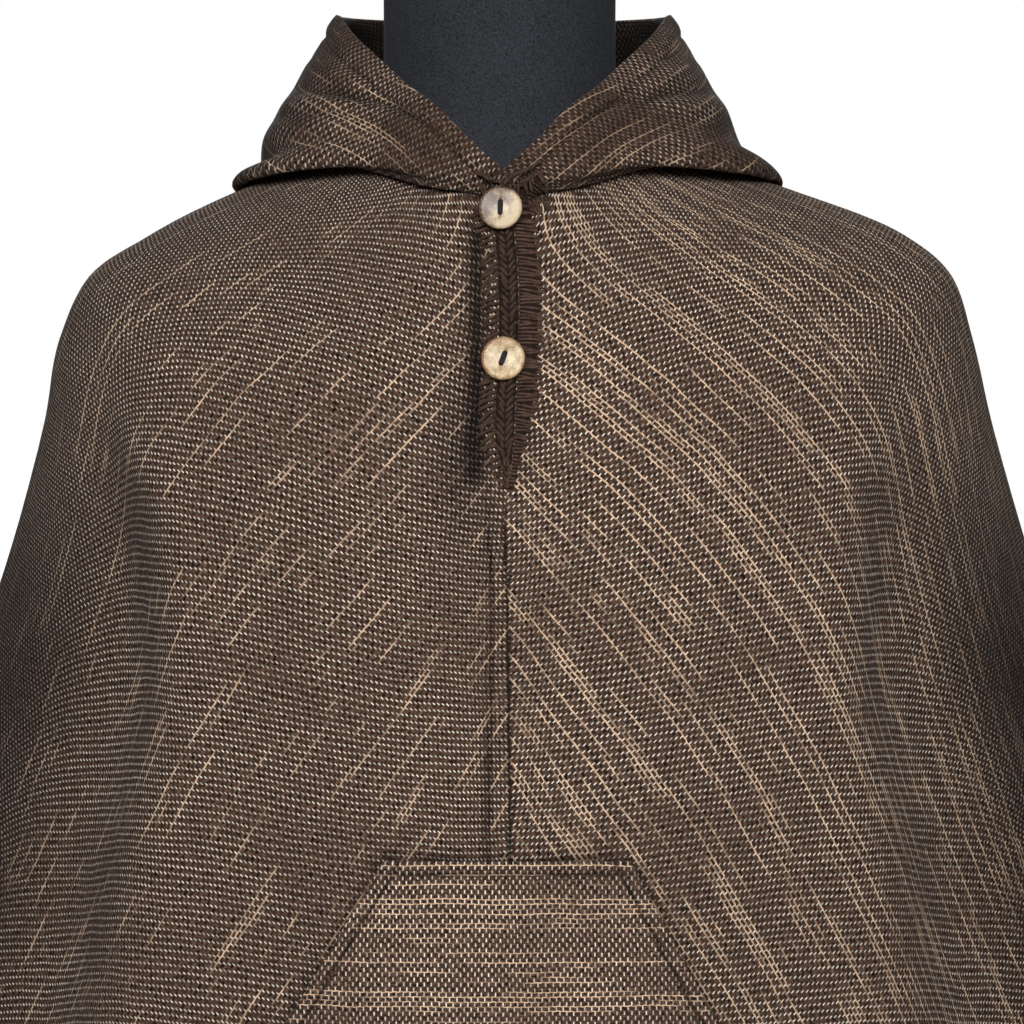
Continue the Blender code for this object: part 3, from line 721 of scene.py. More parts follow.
def hood_creases(turns, us):
    """Soft folds and dents of the hood, and the painted shade of each place."""
    around = np.degrees(np.where(turns <= math.pi, turns, math.tau - turns))[None]
    right = (turns <= math.pi)[None]
    height, painted_shade = np.zeros((len(us), len(turns))), np.zeros((len(us), len(turns)))
    for row in HOOD_CREASES:
        crease = dict(zip(HOOD_CREASE_COLUMNS, row))
        side = right if crease["side"] == "right" else ~right
        slide = (around - crease["angle"]) / crease["half_length"]
        line = crease["u"] + crease["slope"] * slide
        shape = side * bump(us[:, None], line, crease["width"]) * bump(slide, 0, 0.75)
        height += crease["height"] * shape
        painted_shade += crease["dark"] * shape
    return height * MM, np.clip(painted_shade, 0, 0.8)


def build_hood(tree):
    half = HOOD_COLUMNS_ROUND // 2
    seam = 1e-4
    halves = (0, math.pi - seam), (math.pi + seam, math.tau)
    turns = np.concatenate([np.linspace(start, end, half + 1) for start, end in halves])
    us = np.linspace(0, 1, HOOD_ROWS + 1)
    middle = hood_points(turns, us)
    creases, painted_shade = hood_creases(turns, us)
    back_seam = bump(np.degrees(np.abs(turns - math.pi)), 0, 0.9)[None]
    middle = middle + grid_normals(middle) * (creases - 0.9 * MM * back_seam)[..., None]
    middle[:-1] = keep_clear(middle[:-1], tree, WALL / 2 + HOOD_CLEARANCE)
    from_rim = length_down(middle)
    normals = grid_normals(middle)
    second_fold = bump(from_rim, 2 * HOOD_HEM, 3 * MM)
    relief = hem_profile(from_rim, HOOD_HEM, 1.6 * MM, 1.1 * MM) - 0.5 * MM * second_fold
    outer = middle + normals * (WALL / 2 + relief)[..., None]
    inner = middle - normals * (WALL / 2 + 0.5 * hem_profile(from_rim, HOOD_HEM))[..., None]
    # Painted shade in the creases and in the hem's two grooves
    painted_shade = painted_shade + 0.55 * bump(from_rim, HOOD_HEM, 1.1 * MM) + 0.25 * second_fold
    # Painted shade where the two front corners of the hood tuck in beside the slit, and along its back seam
    x = outer[..., 0]
    beside_slit = np.where(turns <= math.pi, bump(x, 11 * MM, 11 * MM), bump(x, -5 * MM, 8 * MM))
    low = bump(outer[..., 2] - V_HEIGHT, -6 * MM, 9 * MM) * (outer[..., 1] < 0)
    painted_shade = np.minimum(painted_shade + 0.5 * back_seam + 0.6 * beside_slit * low, 0.85)
    # The inner face is painted in deep shade
    return cloth_wall("hood_cloth", outer, inner, hood_pattern(turns, us), painted_shade, 0.86)


# Pocket -----------------------------------------------------------------------------
def front_at(x, z, tree, out):
    """Points straight in front of the cloth, moved out along its smooth normal."""
    points = np.zeros((*x.shape, 3))
    t = t_at_height(z / MM)
    row = body_row(t)
    angle = np.arcsin(np.minimum(np.abs(x) / MM / row["left"], 1) ** (row["square"] / 2))
    normals = np.where((x < 0)[..., None], body_normal("left", angle, t), body_normal("right", angle, t))
    for place in np.ndindex(x.shape):
        hit = tree.ray_cast(Vector((x[place], -1, V_HEIGHT + z[place])), Vector((0, 1, 0)))[0]
        points[place] = hit
    return points + normals * out[..., None], normals


def build_pocket(tree):
    top, mouth_end, bottom = (row[0] for row in POCKET_EDGES)
    v = np.linspace(0, 1, POCKET_ROWS + 1)[:, None]
    u = np.linspace(0, 1, POCKET_CELLS_ACROSS + 1)[None]
    z = (top + (bottom - top) * v) * np.ones_like(u)
    left, right = pocket_edges(z)
    x = (left + (right - left) * u) * MM
    mouth = POCKET_MOUTH * np.sin(math.pi * np.minimum((z - top) / (mouth_end - top), 1))
    crown = np.sin(math.pi * v) ** 0.7
    fullness = 1 - np.abs(2 * u - 1) ** 2.5
    out = POCKET_GAP + mouth * (1 - fullness) + POCKET_BULGE * crown * fullness
    inner, normals = front_at(x, z * MM, tree, out)
    side_edge = np.minimum(x - left * MM, right * MM - x)
    top_edge = (top - z) * MM
    top_hem = hem_profile(top_edge, POCKET_TOP_HEM, 1.1 * MM)
    side_hem = hem_profile(side_edge, POCKET_SIDE_HEM, 1.6 * MM)
    beside_mouth = (side_edge < POCKET_SIDE_HEM + 1 * MM) & (z > mouth_end)
    relief = np.where(beside_mouth, np.maximum(side_hem, top_hem), top_hem)
    outer = inner + normals * (WALL + relief)[..., None]
    # Painted shade in the hems' grooves; the inner face gets some painted shade too
    painted_shade = 0.8 * bump(top_edge, POCKET_TOP_HEM, 1.0 * MM)
    painted_shade = np.maximum(painted_shade, 0.85 * (z > mouth_end) * bump(side_edge, POCKET_SIDE_HEM, 1.0 * MM))
    pattern = np.stack([x, z * MM], -1)
    return cloth_wall("pocket_cloth", outer, inner, pattern, painted_shade, 0.4)


# Finishes ---------------------------------------------------------------------------
def operator(operation, turned=False):
    """A method that adds a Math node for a value and another one."""
    def method(self, other):
        values = (other, self) if turned else (self, other)
        return self.finish.maths(operation, *values)
    return method


def change(operation):
    """A method that adds a Math node for a value on its own."""
    return lambda self: self.finish.maths(operation, self)


class Value:
    """A number in a material, so that its maths reads as Python."""

    def __init__(self, finish, socket):
        self.finish = finish
        self.socket = socket

    __add__ = __radd__ = operator("ADD")
    __mul__ = __rmul__ = operator("MULTIPLY")
    __sub__ = operator("SUBTRACT")
    __rsub__ = operator("SUBTRACT", turned=True)
    __truediv__ = operator("DIVIDE")
    __pow__ = operator("POWER")
    least = operator("MINIMUM")
    most = operator("MAXIMUM")
    floor = change("FLOOR")
    part = change("FRACT")
    size = change("ABSOLUTE")
    wave = change("SINE")

    def rise(self, start, full):
        """0 before start, 1 past full, smooth between."""
        return self.finish.step(self, start, full)


class NodeMaker:
    """Adds nodes to its tree and joins them."""

    def node(self, kind, settings=(), **inputs):
        """Adds a node, with its settings first and then values or links for its sockets."""
        node = self.tree.nodes.new(kind)
        for key, value in dict(settings).items():
            setattr(node, key, value)
        for key, value in inputs.items():
            self.feed(node.inputs[key.replace("_", " ")], value)
        return node

    def feed(self, socket, value):
        value = value.socket if isinstance(value, Value) else value
        if isinstance(value, bpy.types.NodeSocket):
            self.tree.links.new(value, socket)
        else:
            socket.default_value = value


class Finish(NodeMaker):
    """One material: a Principled surface with named nodes round it."""

    def __init__(self, name, roughness, metallic=0.0, **constants):
        self.material = bpy.data.materials.new(name)
        self.material.use_nodes = True
        self.tree = self.material.node_tree
        self.shader = self.tree.nodes["Principled BSDF"]
        self.shader.inputs["Roughness"].default_value = roughness
        self.shader.inputs["Metallic"].default_value = metallic
        for socket, value in constants.items():
            self.shader.inputs[socket.replace("_", " ")].default_value = value

    def value(self, socket):
        return Value(self, socket)

    def maths(self, operation, *values):
        node = self.node("ShaderNodeMath", {"operation": operation})
        for socket, value in zip(node.inputs, values):
            self.feed(socket, value)
        return self.value(node.outputs[0])

    def step(self, value, start, full):
        node = self.node("ShaderNodeMapRange", {"interpolation_type": "SMOOTHSTEP"})
        limits = {"Value": value, "From Min": start, "From Max": full, "To Min": 0.0, "To Max": 1.0}
        for key, number in limits.items():
            self.feed(node.inputs[key], number)
        return self.value(node.outputs["Result"])

    def vector(self, x, y, z=0.0):
        return self.node("ShaderNodeCombineXYZ", X=x, Y=y, Z=z).outputs[0]

    def noise(self, vector, scale, detail=2.0, roughness=0.5):
        node = self.node("ShaderNodeTexNoise", Vector=vector, Scale=scale, Detail=detail, Roughness=roughness)
        return self.value(node.outputs[0])

    def chance(self, x, y=0.0, z=0.0):
        """A random number for each whole pair of numbers."""
        node = self.node("ShaderNodeTexWhiteNoise", {"noise_dimensions": "3D"}, Vector=self.vector(x, y, z))
        return self.value(node.outputs["Value"])

    def blend(self, factor, first, second, blend_type="MIX"):
        node = self.node("ShaderNodeMix", {"data_type": "RGBA", "blend_type": blend_type})
        self.feed(node.inputs["Factor"], factor)
        self.feed(node.inputs[6], first)
        self.feed(node.inputs[7], second)
        return node.outputs[2]

    def places(self):
        """Object coordinates."""
        return self.node("ShaderNodeTexCoord").outputs["Object"]

    def pattern(self):
        """Place in the piece's own pattern, in metres, as two numbers."""
        node = self.node("ShaderNodeUVMap", {"uv_map": "weave"})
        split = self.node("ShaderNodeSeparateXYZ", Vector=node.outputs[0])
        return self.value(split.outputs[0]), self.value(split.outputs[1])

    def distance(self, first, second):
        node = self.node("ShaderNodeVectorMath", {"operation": "DISTANCE"})
        self.feed(node.inputs[0], first)
        self.feed(node.inputs[1], second)
        return self.value(node.outputs["Value"])

    def attribute(self, name):
        return self.value(self.node("ShaderNodeAttribute", {"attribute_name": name}).outputs["Fac"])

    def relief(self, height, distance, strength=1.0, under=None):
        node = self.node("ShaderNodeBump", Height=height, Distance=distance, Strength=strength)
        if under is not None:
            self.feed(node.inputs["Normal"], under)
        return node.outputs[0]

    def finish(self, **sockets):
        for key, value in sockets.items():
            self.feed(self.shader.inputs[key.replace("_", " ")], value)
        return self.material


def srgb(red, green, blue):
    """Colour as seen on a screen, 0 to 255, in the linear values that Blender uses."""
    def linear(c):
        c /= 255
        return c / 12.92 if c <= 0.04045 else ((c + 0.055) / 1.055) ** 2.4
    return (linear(red), linear(green), linear(blue), 1)


# Colour that the painted shade darkens the cloth towards
PAINTED_SHADE_COLOR = srgb(14, 9, 6)
DARK_YARN = srgb(24, 13, 8)
MID_YARN = srgb(117, 89, 74)
NAP_WOOL = srgb(58, 42, 33)
TAN_YARN = srgb(240, 203, 166)
CREAM_YARN = srgb(255, 243, 228)
# One brick is a float of the thick brown yarn, one course is a row of it, both in millimetres, and
# each row is moved along by a step, a part of a brick. Towards the sides the drape adds to it.
# Bare is how much of the cloth has lost its cream dashes to the nap.
# Shade scales a piece's whole colour: partly its yarn's own tone, partly painted shade and painted light,
# darker on the hood and lighter on the pocket.
WEAVE_COLUMNS = (
    "brick", "course", "step", "side_step", "streaks", "rich", "slant", "dashes", "bare", "shade"
)
SIDE_ROWS = (-30, -2)                 # rows over which the side step joins the step of the front
RICH_SPOT = (0.055, -0.13, 1.265)     # where the tan yarns lie closest, beside the neckline
WEAVES = {
    "left_weave": (4.18, 1.50, 0.229, 0.27, 0.19, 0.03, 0.15, 0.92, 0.0, 1.0),
    "right_weave": (4.18, 1.60, 0.232, 0.27, 0.28, 0.04, 0.21, 0.94, 0.0, 0.98),
    "hood_weave": (3.9, 2.15, 0.345, 0.0, 0.26, 0.03, 0.10, 0.95, 0.78, 0.88),
    "pocket_weave": (3.62, 2.50, 0.5, 0.0, 0.33, 0.0, 0.0, 0.83, 0.0, 1.14),
}


def woven_wool(name):
    """Thick brown weft in twill order, thin cream warp at the joints, tan yarns between rows."""
    weave = dict(zip(WEAVE_COLUMNS, WEAVES[name]))
    brick, course = weave["brick"] * MM, weave["course"] * MM
    cloth = Finish(name, roughness=0.95, Specular_IOR_Level=0.12, Sheen_Weight=0.03, Sheen_Roughness=0.5)
    along, across = cloth.pattern()
    flat = cloth.vector(along, across)
    # Rows of floats, each row moved along, wandering a little as hand weaving does
    wander = cloth.noise(flat, 24, 2) - 0.5
    drift = cloth.noise(cloth.vector(along, across, 4.0), 34, 2) - 0.5
    row_place = across / course + wander * 1.3
    brick_place = along / brick + drift * 1.0
    row = row_place.floor()
    in_row = row_place - row
    first, last = SIDE_ROWS
    turned = ((row - first) / (last - first)).most(0.0).least(1.0)
    side_rows = turned * turned * ((last - first) / 2) + (row - last).most(0.0)
    moved = row * weave["step"] + side_rows * weave["side_step"]
    joint_place = brick_place - moved.part() + (in_row - 0.5) * weave["slant"]
    joint = (joint_place + 0.5).floor()
    from_joint = (joint_place - joint).size() * weave["brick"]
    tone = cloth.chance(joint, row, 1.0)
    fibre = cloth.noise(cloth.vector(along * 330, across * 900), 1, 1, 0.5)
    mottle = cloth.noise(flat, 680, 1, 0.5)
    patches = cloth.noise(flat, 14, 3, 0.55)
    nap = patches.rise(0.43, 0.55) * weave["bare"]

    # Cream warp that shows as a dash at each joint
    up_row = (in_row - 0.5).size() * 2
    dash_tone = cloth.chance(joint, row, 2.0)
    dash = (1 - from_joint.rise(0.2, 0.5)) * (1 - up_row.rise(0.6, 0.92))
    dash = dash * (0.45 + dash_tone * 0.62) * (1 - nap)
    dash = dash * (weave["dashes"] + (patches.rise(0.36, 0.6) - 0.6) * 0.4)

    # Tan yarns between two rows, in runs that come and go
    winding = (brick_place * (2 * math.pi)).wave() * 0.05
    line = (row_place + 0.5).floor()
    from_line = (row_place - line + winding).size() * weave["course"]
    run = cloth.noise(cloth.vector(along * 17, line * 0.71), 1, 2, 0.6)
    which = cloth.chance(line, 7.0)
    rich = (1 - cloth.distance(cloth.places(), RICH_SPOT).rise(0.04, 0.17)) * weave["rich"]
    strength = (run + which * 0.34 + rich).rise(1.0 - weave["streaks"], 1.16 - weave["streaks"])
    beads = 0.4 + cloth.chance((brick_place * 2).floor(), line, 3.0) * 0.75
    tan = (1 - from_line.rise(0.1, 0.42)) * (strength + 0.05) * beads * (1 - nap * 0.35)

    # Colour, laid on from the brown floats up to the painted shade of the folds, seams and hems
    wool = cloth.blend(tone * 0.16 + fibre * 1.7 + mottle * 1.3 - 1.21, DARK_YARN, MID_YARN)
    holes = (1 - (from_joint - 0.75).size().rise(0.1, 0.5)) * up_row.rise(0.2, 0.9)
    gaps = ((1 - from_line.rise(0.0, 0.5)) * 0.18 + holes * 0.2).least(1.0) * (1 - nap * 0.85)
    wool = cloth.blend(gaps, wool, DARK_YARN)
    wool = cloth.blend(nap * 0.42, wool, NAP_WOOL)
    wool = cloth.blend(tan.least(1.0), wool, TAN_YARN)
    color = cloth.blend(dash.least(1.0), wool, CREAM_YARN)
    # Whole-piece tone, partly painted shade and painted light
    color = cloth.blend(1.0, color, (weave["shade"],) * 3 + (1,), "MULTIPLY")
    # Painted shade from the piece's attribute, darkest in folds, seams, hems and on the inner faces
    color = cloth.blend(cloth.attribute("painted_shade"), color, PAINTED_SHADE_COLOR)
    hump = (1 - up_row**2.0) * (1 - (1 - from_joint.rise(0.0, 0.9)) * 0.5)
    height = hump * 0.7 + dash * 0.45 + tan * 0.35 + fibre * 0.3 + mottle * 0.25
    return cloth.finish(Base_Color=color, Normal=cloth.relief(height, 0.7 * MM, 0.9))


def crochet_wool(name, dark, pale):
    """Fuzzy dark yarn of the crocheted edges."""
    yarn = Finish(name, roughness=0.95, Specular_IOR_Level=0.12, Sheen_Weight=0.04, Sheen_Roughness=0.5)
    places = yarn.places()
    hairs = yarn.noise(places, 1500, 4, 0.7)
    shade = yarn.noise(places, 300, 3, 0.6)
    color = yarn.blend(hairs * 1.3 + shade * 1.2 - 0.85, dark, pale)
    return yarn.finish(Base_Color=color, Normal=yarn.relief(hairs, 0.6 * MM, 0.8))


def black_jersey():
    sheen = {"Sheen_Weight": 0.05, "Sheen_Roughness": 0.5}
    jersey = Finish("black_jersey", roughness=0.85, Specular_IOR_Level=0.25, **sheen)
    places = jersey.places()
    knit = jersey.noise(places, 950, 3, 0.75)
    cloud = jersey.noise(places, 60, 3, 0.6)
    color = jersey.blend(knit * 2.3 + cloud * 0.25 - 0.82, srgb(9, 10, 14), srgb(66, 69, 76))
    return jersey.finish(Base_Color=color, Normal=jersey.relief(knit, 0.25 * MM, 0.5))


def satin_paint():
    paint = Finish("satin_paint", roughness=0.4, metallic=0.3)
    places = paint.places()
    cloud = paint.noise(places, 25, 4, 0.6)
    grain = paint.noise(places, 1200, 2, 0.6)
    color = paint.blend(cloud, srgb(30, 30, 32), srgb(44, 44, 47))
    relief = paint.relief(grain, 0.05 * MM, 0.4)
    return paint.finish(Base_Color=color, Roughness=0.34 + cloud * 0.14, Normal=relief)


def coconut_shell(name, pale, brown, centre, stain_and_highlight_lean):
    """Polished shell, mottled and flecked, browner to one side and paler to the other, partly its own stain
    and partly a painted highlight, and darker round its rim.
    """
    shell = Finish(name, roughness=0.4, Coat_Weight=0.3, Coat_Roughness=0.25)
    places = shell.places()
    grain = shell.noise(places, 1100, 4, 0.75)
    clouds = shell.noise(places, 210, 3, 0.6)
    away = shell.node("ShaderNodeVectorMath", {"operation": "SUBTRACT"})
    shell.feed(away.inputs[0], places)
    shell.feed(away.inputs[1], centre)
    apart = shell.node("ShaderNodeSeparateXYZ", Vector=away.outputs[0])
    x, z = (shell.value(apart.outputs[k]) / (BUTTON_RADIUS * MM) for k in (0, 2))
    rim = (x * x + z * z).rise(0.62, 1.0)
    across, up = stain_and_highlight_lean
    # Browner to one side: partly the shell's own stain, partly a painted highlight on the paler side
    stain_and_highlight = (clouds * 2.7 + grain * 2.2 + rim * 0.45 + x * across + z * up - 2.0).most(0.0).least(1.0)
    color = shell.blend(stain_and_highlight, pale, brown)
    flecks = (grain - 0.56).rise(0.0, 0.1) * 0.5
    color = shell.blend(flecks, color, srgb(252, 238, 212))
    return shell.finish(
        Base_Color=color, Roughness=0.3 + grain * 0.35, Normal=shell.relief(grain, 0.15 * MM, 0.5)
    )


def black_thread():
    thread = Finish("black_thread", roughness=0.8)
    hairs = thread.noise(thread.places(), 2500, 3, 0.6)
    color = thread.blend(hairs, srgb(14, 13, 13), srgb(44, 42, 42))
    return thread.finish(Base_Color=color, Normal=thread.relief(hairs, 0.1 * MM, 0.6))


def matte_floor():
    floor = Finish("pale_floor", roughness=0.9)
    cloud = floor.noise(floor.places(), 3, 3, 0.5)
    return floor.finish(Base_Color=floor.blend(cloud, srgb(232, 231, 229), srgb(238, 237, 235)))


# Yarn -------------------------------------------------------------------------------
def tube(path, radius, sides=6, closed=False):
    """Points and faces of a tube along a path; the radius may change along it."""
    path = np.asarray(path, float)
    ahead, behind = np.roll(path, -1, axis=0), np.roll(path, 1, axis=0)
    if not closed:
        ahead[-1], behind[0] = path[-1], path[0]
    tangents = unit(ahead - behind)
    normal = unit(np.cross(tangents[0], [0.31, 0.21, 0.93]))
    rings = []
    radius = np.broadcast_to(radius, len(path))
    turns = np.linspace(0, math.tau, sides, endpoint=False)
    for point, tangent, size in zip(path, tangents, radius):
        normal = unit(normal - tangent * (normal @ tangent))
        other = np.cross(tangent, normal)
        rings.append(point + size * (np.cos(turns)[:, None] * normal + np.sin(turns)[:, None] * other))
    verts = np.concatenate(rings)
    faces = []
    count = len(path)
    for i in range(count if closed else count - 1):
        low, high = i * sides, (i + 1) % count * sides
        for k in range(sides):
            after = (k + 1) % sides
            faces.append((low + k, low + after, high + after, high + k))
    if not closed:
        faces.append(tuple(range(sides))[::-1])
        faces.append(tuple(range((count - 1) * sides, count * sides)))
    return verts, faces


def joined(parts):
    verts, faces, count = [], [], 0
    for part_verts, part_faces in parts:
        verts.append(part_verts)
        faces += [tuple(i + count for i in face) for face in part_faces]
        count += len(part_verts)
    return np.concatenate(verts), faces


class Grown(NodeMaker):
    """Geometry Nodes tree that sets copies of a piece on points, turned to their attributes."""

    INPUTS = (
        ("Geometry", "NodeSocketGeometry"),
        ("Piece", "NodeSocketObject"),
        ("Material", "NodeSocketMaterial"),
        ("Turn", "NodeSocketFloat"),
        ("Size Change", "NodeSocketFloat"),
        ("Seed", "NodeSocketInt"),
    )

    def __init__(self):
        self.tree = bpy.data.node_groups.new("set_in_place", "GeometryNodeTree")
        for name, kind in self.INPUTS:
            self.tree.interface.new_socket(name, in_out="INPUT", socket_type=kind)
        self.tree.interface.new_socket("Geometry", in_out="OUTPUT", socket_type="NodeSocketGeometry")
        given = self.tree.nodes.new("NodeGroupInput").outputs
        along, facing = self.read("along", "FLOAT_VECTOR"), self.read("facing", "FLOAT_VECTOR")
        reach = self.read("reach", "FLOAT")
        square = self.node(
            "FunctionNodeAxesToRotation",
            {"primary_axis": "X", "secondary_axis": "Z"},
            Primary_Axis=along,
            Secondary_Axis=facing,
        )
        swing = self.random(given["Turn"], given["Seed"])
        angles = self.node("ShaderNodeCombineXYZ", Z=swing)
        swing = self.node("FunctionNodeEulerToRotation", Euler=angles.outputs[0])
        turned = self.node(
            "FunctionNodeRotateRotation",
            {"rotation_space": "LOCAL"},
            Rotation=square.outputs[0],
            Rotate_By=swing.outputs[0],
        )
        later = self.maths("ADD", given["Seed"], 1.0)
        size = self.maths("ADD", self.random(given["Size Change"], later), 1.0)
        scale = self.node("ShaderNodeCombineXYZ", X=self.maths("MULTIPLY", size, reach), Y=size, Z=size)
        piece = self.node("GeometryNodeObjectInfo", Object=given["Piece"])
        placed = self.node(
            "GeometryNodeInstanceOnPoints",
            Points=given["Geometry"],
            Instance=piece.outputs["Geometry"],
            Rotation=turned.outputs[0],
            Scale=scale.outputs[0],
        )
        real = self.node("GeometryNodeRealizeInstances", Geometry=placed.outputs[0])
        finished = self.node("GeometryNodeSetMaterial", Geometry=real.outputs[0], Material=given["Material"])
        end = self.tree.nodes.new("NodeGroupOutput")
        self.tree.links.new(finished.outputs[0], end.inputs[0])

    def read(self, name, kind):
        return self.node("GeometryNodeInputNamedAttribute", {"data_type": kind}, Name=name).outputs[0]

    def maths(self, operation, first, second):
        node = self.node("ShaderNodeMath", {"operation": operation})
        self.feed(node.inputs[0], first)
        self.feed(node.inputs[1], second)
        return node.outputs[0]

    def random(self, limit, seed):
        """A random number between minus the limit and the limit, for each copy."""
        node = self.node("FunctionNodeRandomValue", {"data_type": "FLOAT"}, Seed=seed)
        low, high = [socket for socket in node.inputs if socket.enabled and socket.name in ("Min", "Max")]
        self.feed(low, self.maths("MULTIPLY", limit, -1.0))
        self.feed(high, limit)
        return next(socket for socket in node.outputs if socket.enabled)

    def place(self, name, shape, places, material, turn=0.0, size_change=0.0, seed=1):
        """Copies of a shape at places, which hold a point, two directions and a reach each."""
        points, along, facing, reach = (np.asarray(values, float) for values in places)
        mesh = bpy.data.meshes.new(name)
        mesh.from_pydata(points.tolist(), [], [])
        for key, values in (("along", along), ("facing", facing)):
            mesh.attributes.new(key, "FLOAT_VECTOR", "POINT").data.foreach_set("vector", values.ravel())
        mesh.attributes.new("reach", "FLOAT", "POINT").data.foreach_set("value", reach)
        holder = bpy.data.objects.new(name, mesh)
        bpy.context.scene.collection.objects.link(holder)
        piece = new_mesh(f"{name}_piece", *shape)
        modifier = holder.modifiers.new("set_in_place", "NODES")
        modifier.node_group = self.tree
        values = {
            "Piece": piece, "Material": material, "Turn": turn, "Size Change": size_change, "Seed": seed
        }
        for socket in self.tree.interface.items_tree:
            if socket.in_out == "INPUT" and socket.name in values:
                modifier[socket.identifier] = values[socket.name]
        holder.update_tag()
        result = bpy.data.meshes.new_from_object(holder.evaluated_get(bpy.context.evaluated_depsgraph_get()))
        bpy.data.objects.remove(holder, do_unlink=True)
        bpy.data.objects.remove(piece, do_unlink=True)
        placed = bpy.data.objects.new(name, result)
        bpy.context.scene.collection.objects.link(placed)
        return placed


class Surface:
    """The finished cloth, to find points on it straight from the front."""

    def __init__(self, *pieces):
        verts, faces, count = [], [], 0
        for piece in pieces:
            verts += [tuple(vertex.co) for vertex in piece.data.vertices]
            faces += [tuple(i + count for i in face.vertices) for face in piece.data.polygons]
            count = len(verts)
        self.tree = BVHTree.FromPolygons(verts, faces)

    def at(self, x, z):
        """Point and outward normal at x and z, in millimetres from the V."""
        start = Vector((x * MM, -1, V_HEIGHT + z * MM))
        point, normal, _, _ = self.tree.ray_cast(start, Vector((0, 1, 0)))
        return np.array(point), np.array(normal if normal.y < 0 else -normal)

    def line(self, places, pitch, lift=0.0):
        """Evenly spaced places along a line drawn on the cloth, ready for Grown.place."""
        places = np.array(places, float)
        steps = np.concatenate([[0], np.cumsum(np.linalg.norm(np.diff(places, axis=0), axis=1))])
        count = max(int(steps[-1] / pitch), 2)
        at = smooth(steps, places, (np.arange(count) + 0.5) / count * steps[-1])
        return self.spots(at, np.gradient(at, axis=0), lift=lift)

    def spots(self, at, along, reach=None, lift=0.0):
        """Places on the cloth at x and z, with directions along it."""
        found = [self.at(x, z) for x, z in at]
        facing = np.array([normal for _, normal in found])
        along = np.stack([along[:, 0], np.zeros(len(at)), along[:, 1]], -1)
        along = unit(along - facing * (along * facing).sum(-1, keepdims=True))
        points = np.array([point for point, _ in found]) + facing * lift
        return points, along, facing, np.ones(len(at)) if reach is None else reach


# Crocheted edges --------------------------------------------------------------------
BUTTON_RADIUS = 11.5
BUTTON_HOLE = 1.25
BUTTON_HOLE_OFF = 3.0
BUTTONS = (
    # name, pale, brown, how much browner to the right and the top (the paler side partly a painted
    # highlight), lean of the holes, depth of the shank
    ("button_top", (222, 198, 164), (98, 72, 52), (-0.8, 0.6), -0.03, 7.6),
    ("button_bottom", (232, 208, 160), (146, 102, 62), (-0.25, 0.15), -0.36, 5.6),
)
TRIM_WIDTH = 10
TRIM_BAND_HEIGHT = 1.0 * MM
TRIM_NARROWS_AT = {"slit_braid": 0.78, "slit_blanket_edge": 0.60}
TRIM_TIP = 0.25
SLIT_GAP = 0.4
LINK_PITCH = 3.6
STRAND_PITCH = 1.9
STUB_PITCH = 3.1
# Rows of crochet in x and z, millimetres from the V, with the spacing of their loops
NECK_ROWS = (
    ("neck_row_left", ((-13.5, -1.0), (-8.0, -4.0), (-2.0, -6.5), (1.5, -9.0)), 2.9),
    ("neck_row_right", ((0.5, -7.5), (6.0, -3.5), (13.0, 0.0), (20.0, 3.5)), 2.9),
    ("neck_row_right_low", ((4.0, -11.0), (10.0, -7.0), (16.0, -4.0), (22.0, -2.0)), 3.1),
)
# Strands beside them: line, spacing, the direction they point in, and length as a part of STRAND's
NECK_STRANDS = (
    ("neck_strands_left", ((-14.0, -6.0), (-9.0, -8.5)), 2.4, (0.3, -1.0), 0.8),
    ("neck_strands_top", ((2.5, -8.5), (9.0, -5.0), (16.0, -1.5), (21.0, 0.5)), 2.1, (0.35, -1.0), 0.85),
    ("neck_strands_middle", ((5.0, -13.0), (13.0, -9.0), (22.0, -5.5)), 2.0, (0.5, -1.0), 0.9),
    ("neck_strands_right", ((11.5, -16.0), (17.0, -14.5), (22.5, -12.0)), 2.0, (0.45, -1.0), 1.0),
)
# Sewn lines in x and z, with the spacing of their stitches
STITCHED_LINES = (
    ("front_seam_stitches", ((-7.2, -205), (-8.3, -270), (-9.4, -330), (-10.0, -357)), 5.2),
    ("pocket_hem_stitches", ((-55, -368.0), (-20, -368.2), (20, -368.0), (59, -368.2)), 4.6),
    ("pocket_left_stitches", ((-65.5, -374), (-80, -402), (-110, -462), (-133, -508)), 4.8),
    ("pocket_right_stitches", ((69.0, -374), (83, -402), (109, -462), (131, -508)), 4.8),
)
# One link, strand, loop and stitch of yarn: along, across and up, in millimetres
V_LINK = ((-2.7, 3.9, -0.1), (-1.7, 3.3, 0.75), (0.0, 2.1, 1.05), (1.6, 1.0, 0.85), (2.9, 0.35, 0.1))
STRAND = (
    (0.0, 0.0, -0.5), (0.4, 0.0, 0.45), (3.0, 0.1, 0.8), (6.5, -0.1, 0.75), (9.4, 0.0, 0.3), (10.3, 0.0, -0.6)
)
LOOP = ((-2.6, -0.3, -0.6), (-1.6, 0.3, 0.5), (0.0, 0.5, 0.85), (1.6, 0.3, 0.5), (2.7, -0.3, -0.6))
STITCH = ((-1.7, 0.0, -0.5), (-1.2, 0.0, 0.12), (0.0, 0.0, 0.22), (1.2, 0.0, 0.12), (1.7, 0.0, -0.5))


def yarn_shape(path, radius, points=9, sides=6):
    """Tube of yarn through a few millimetre points, thinner at its ends."""
    path = smooth(np.arange(len(path)), np.array(path), np.linspace(0, len(path) - 1, points)) * MM
    swell = 0.72 + 0.28 * np.sin(math.pi * np.linspace(0, 1, points))
    return tube(path, radius * MM * swell, sides)


def mirrored(path):
    return [(x, -y, z) for x, y, z in path]


def trim_width(name, part_way):
    return TRIM_WIDTH * (1 - (1 - TRIM_TIP) * ramp(part_way, TRIM_NARROWS_AT[name], 1.0))


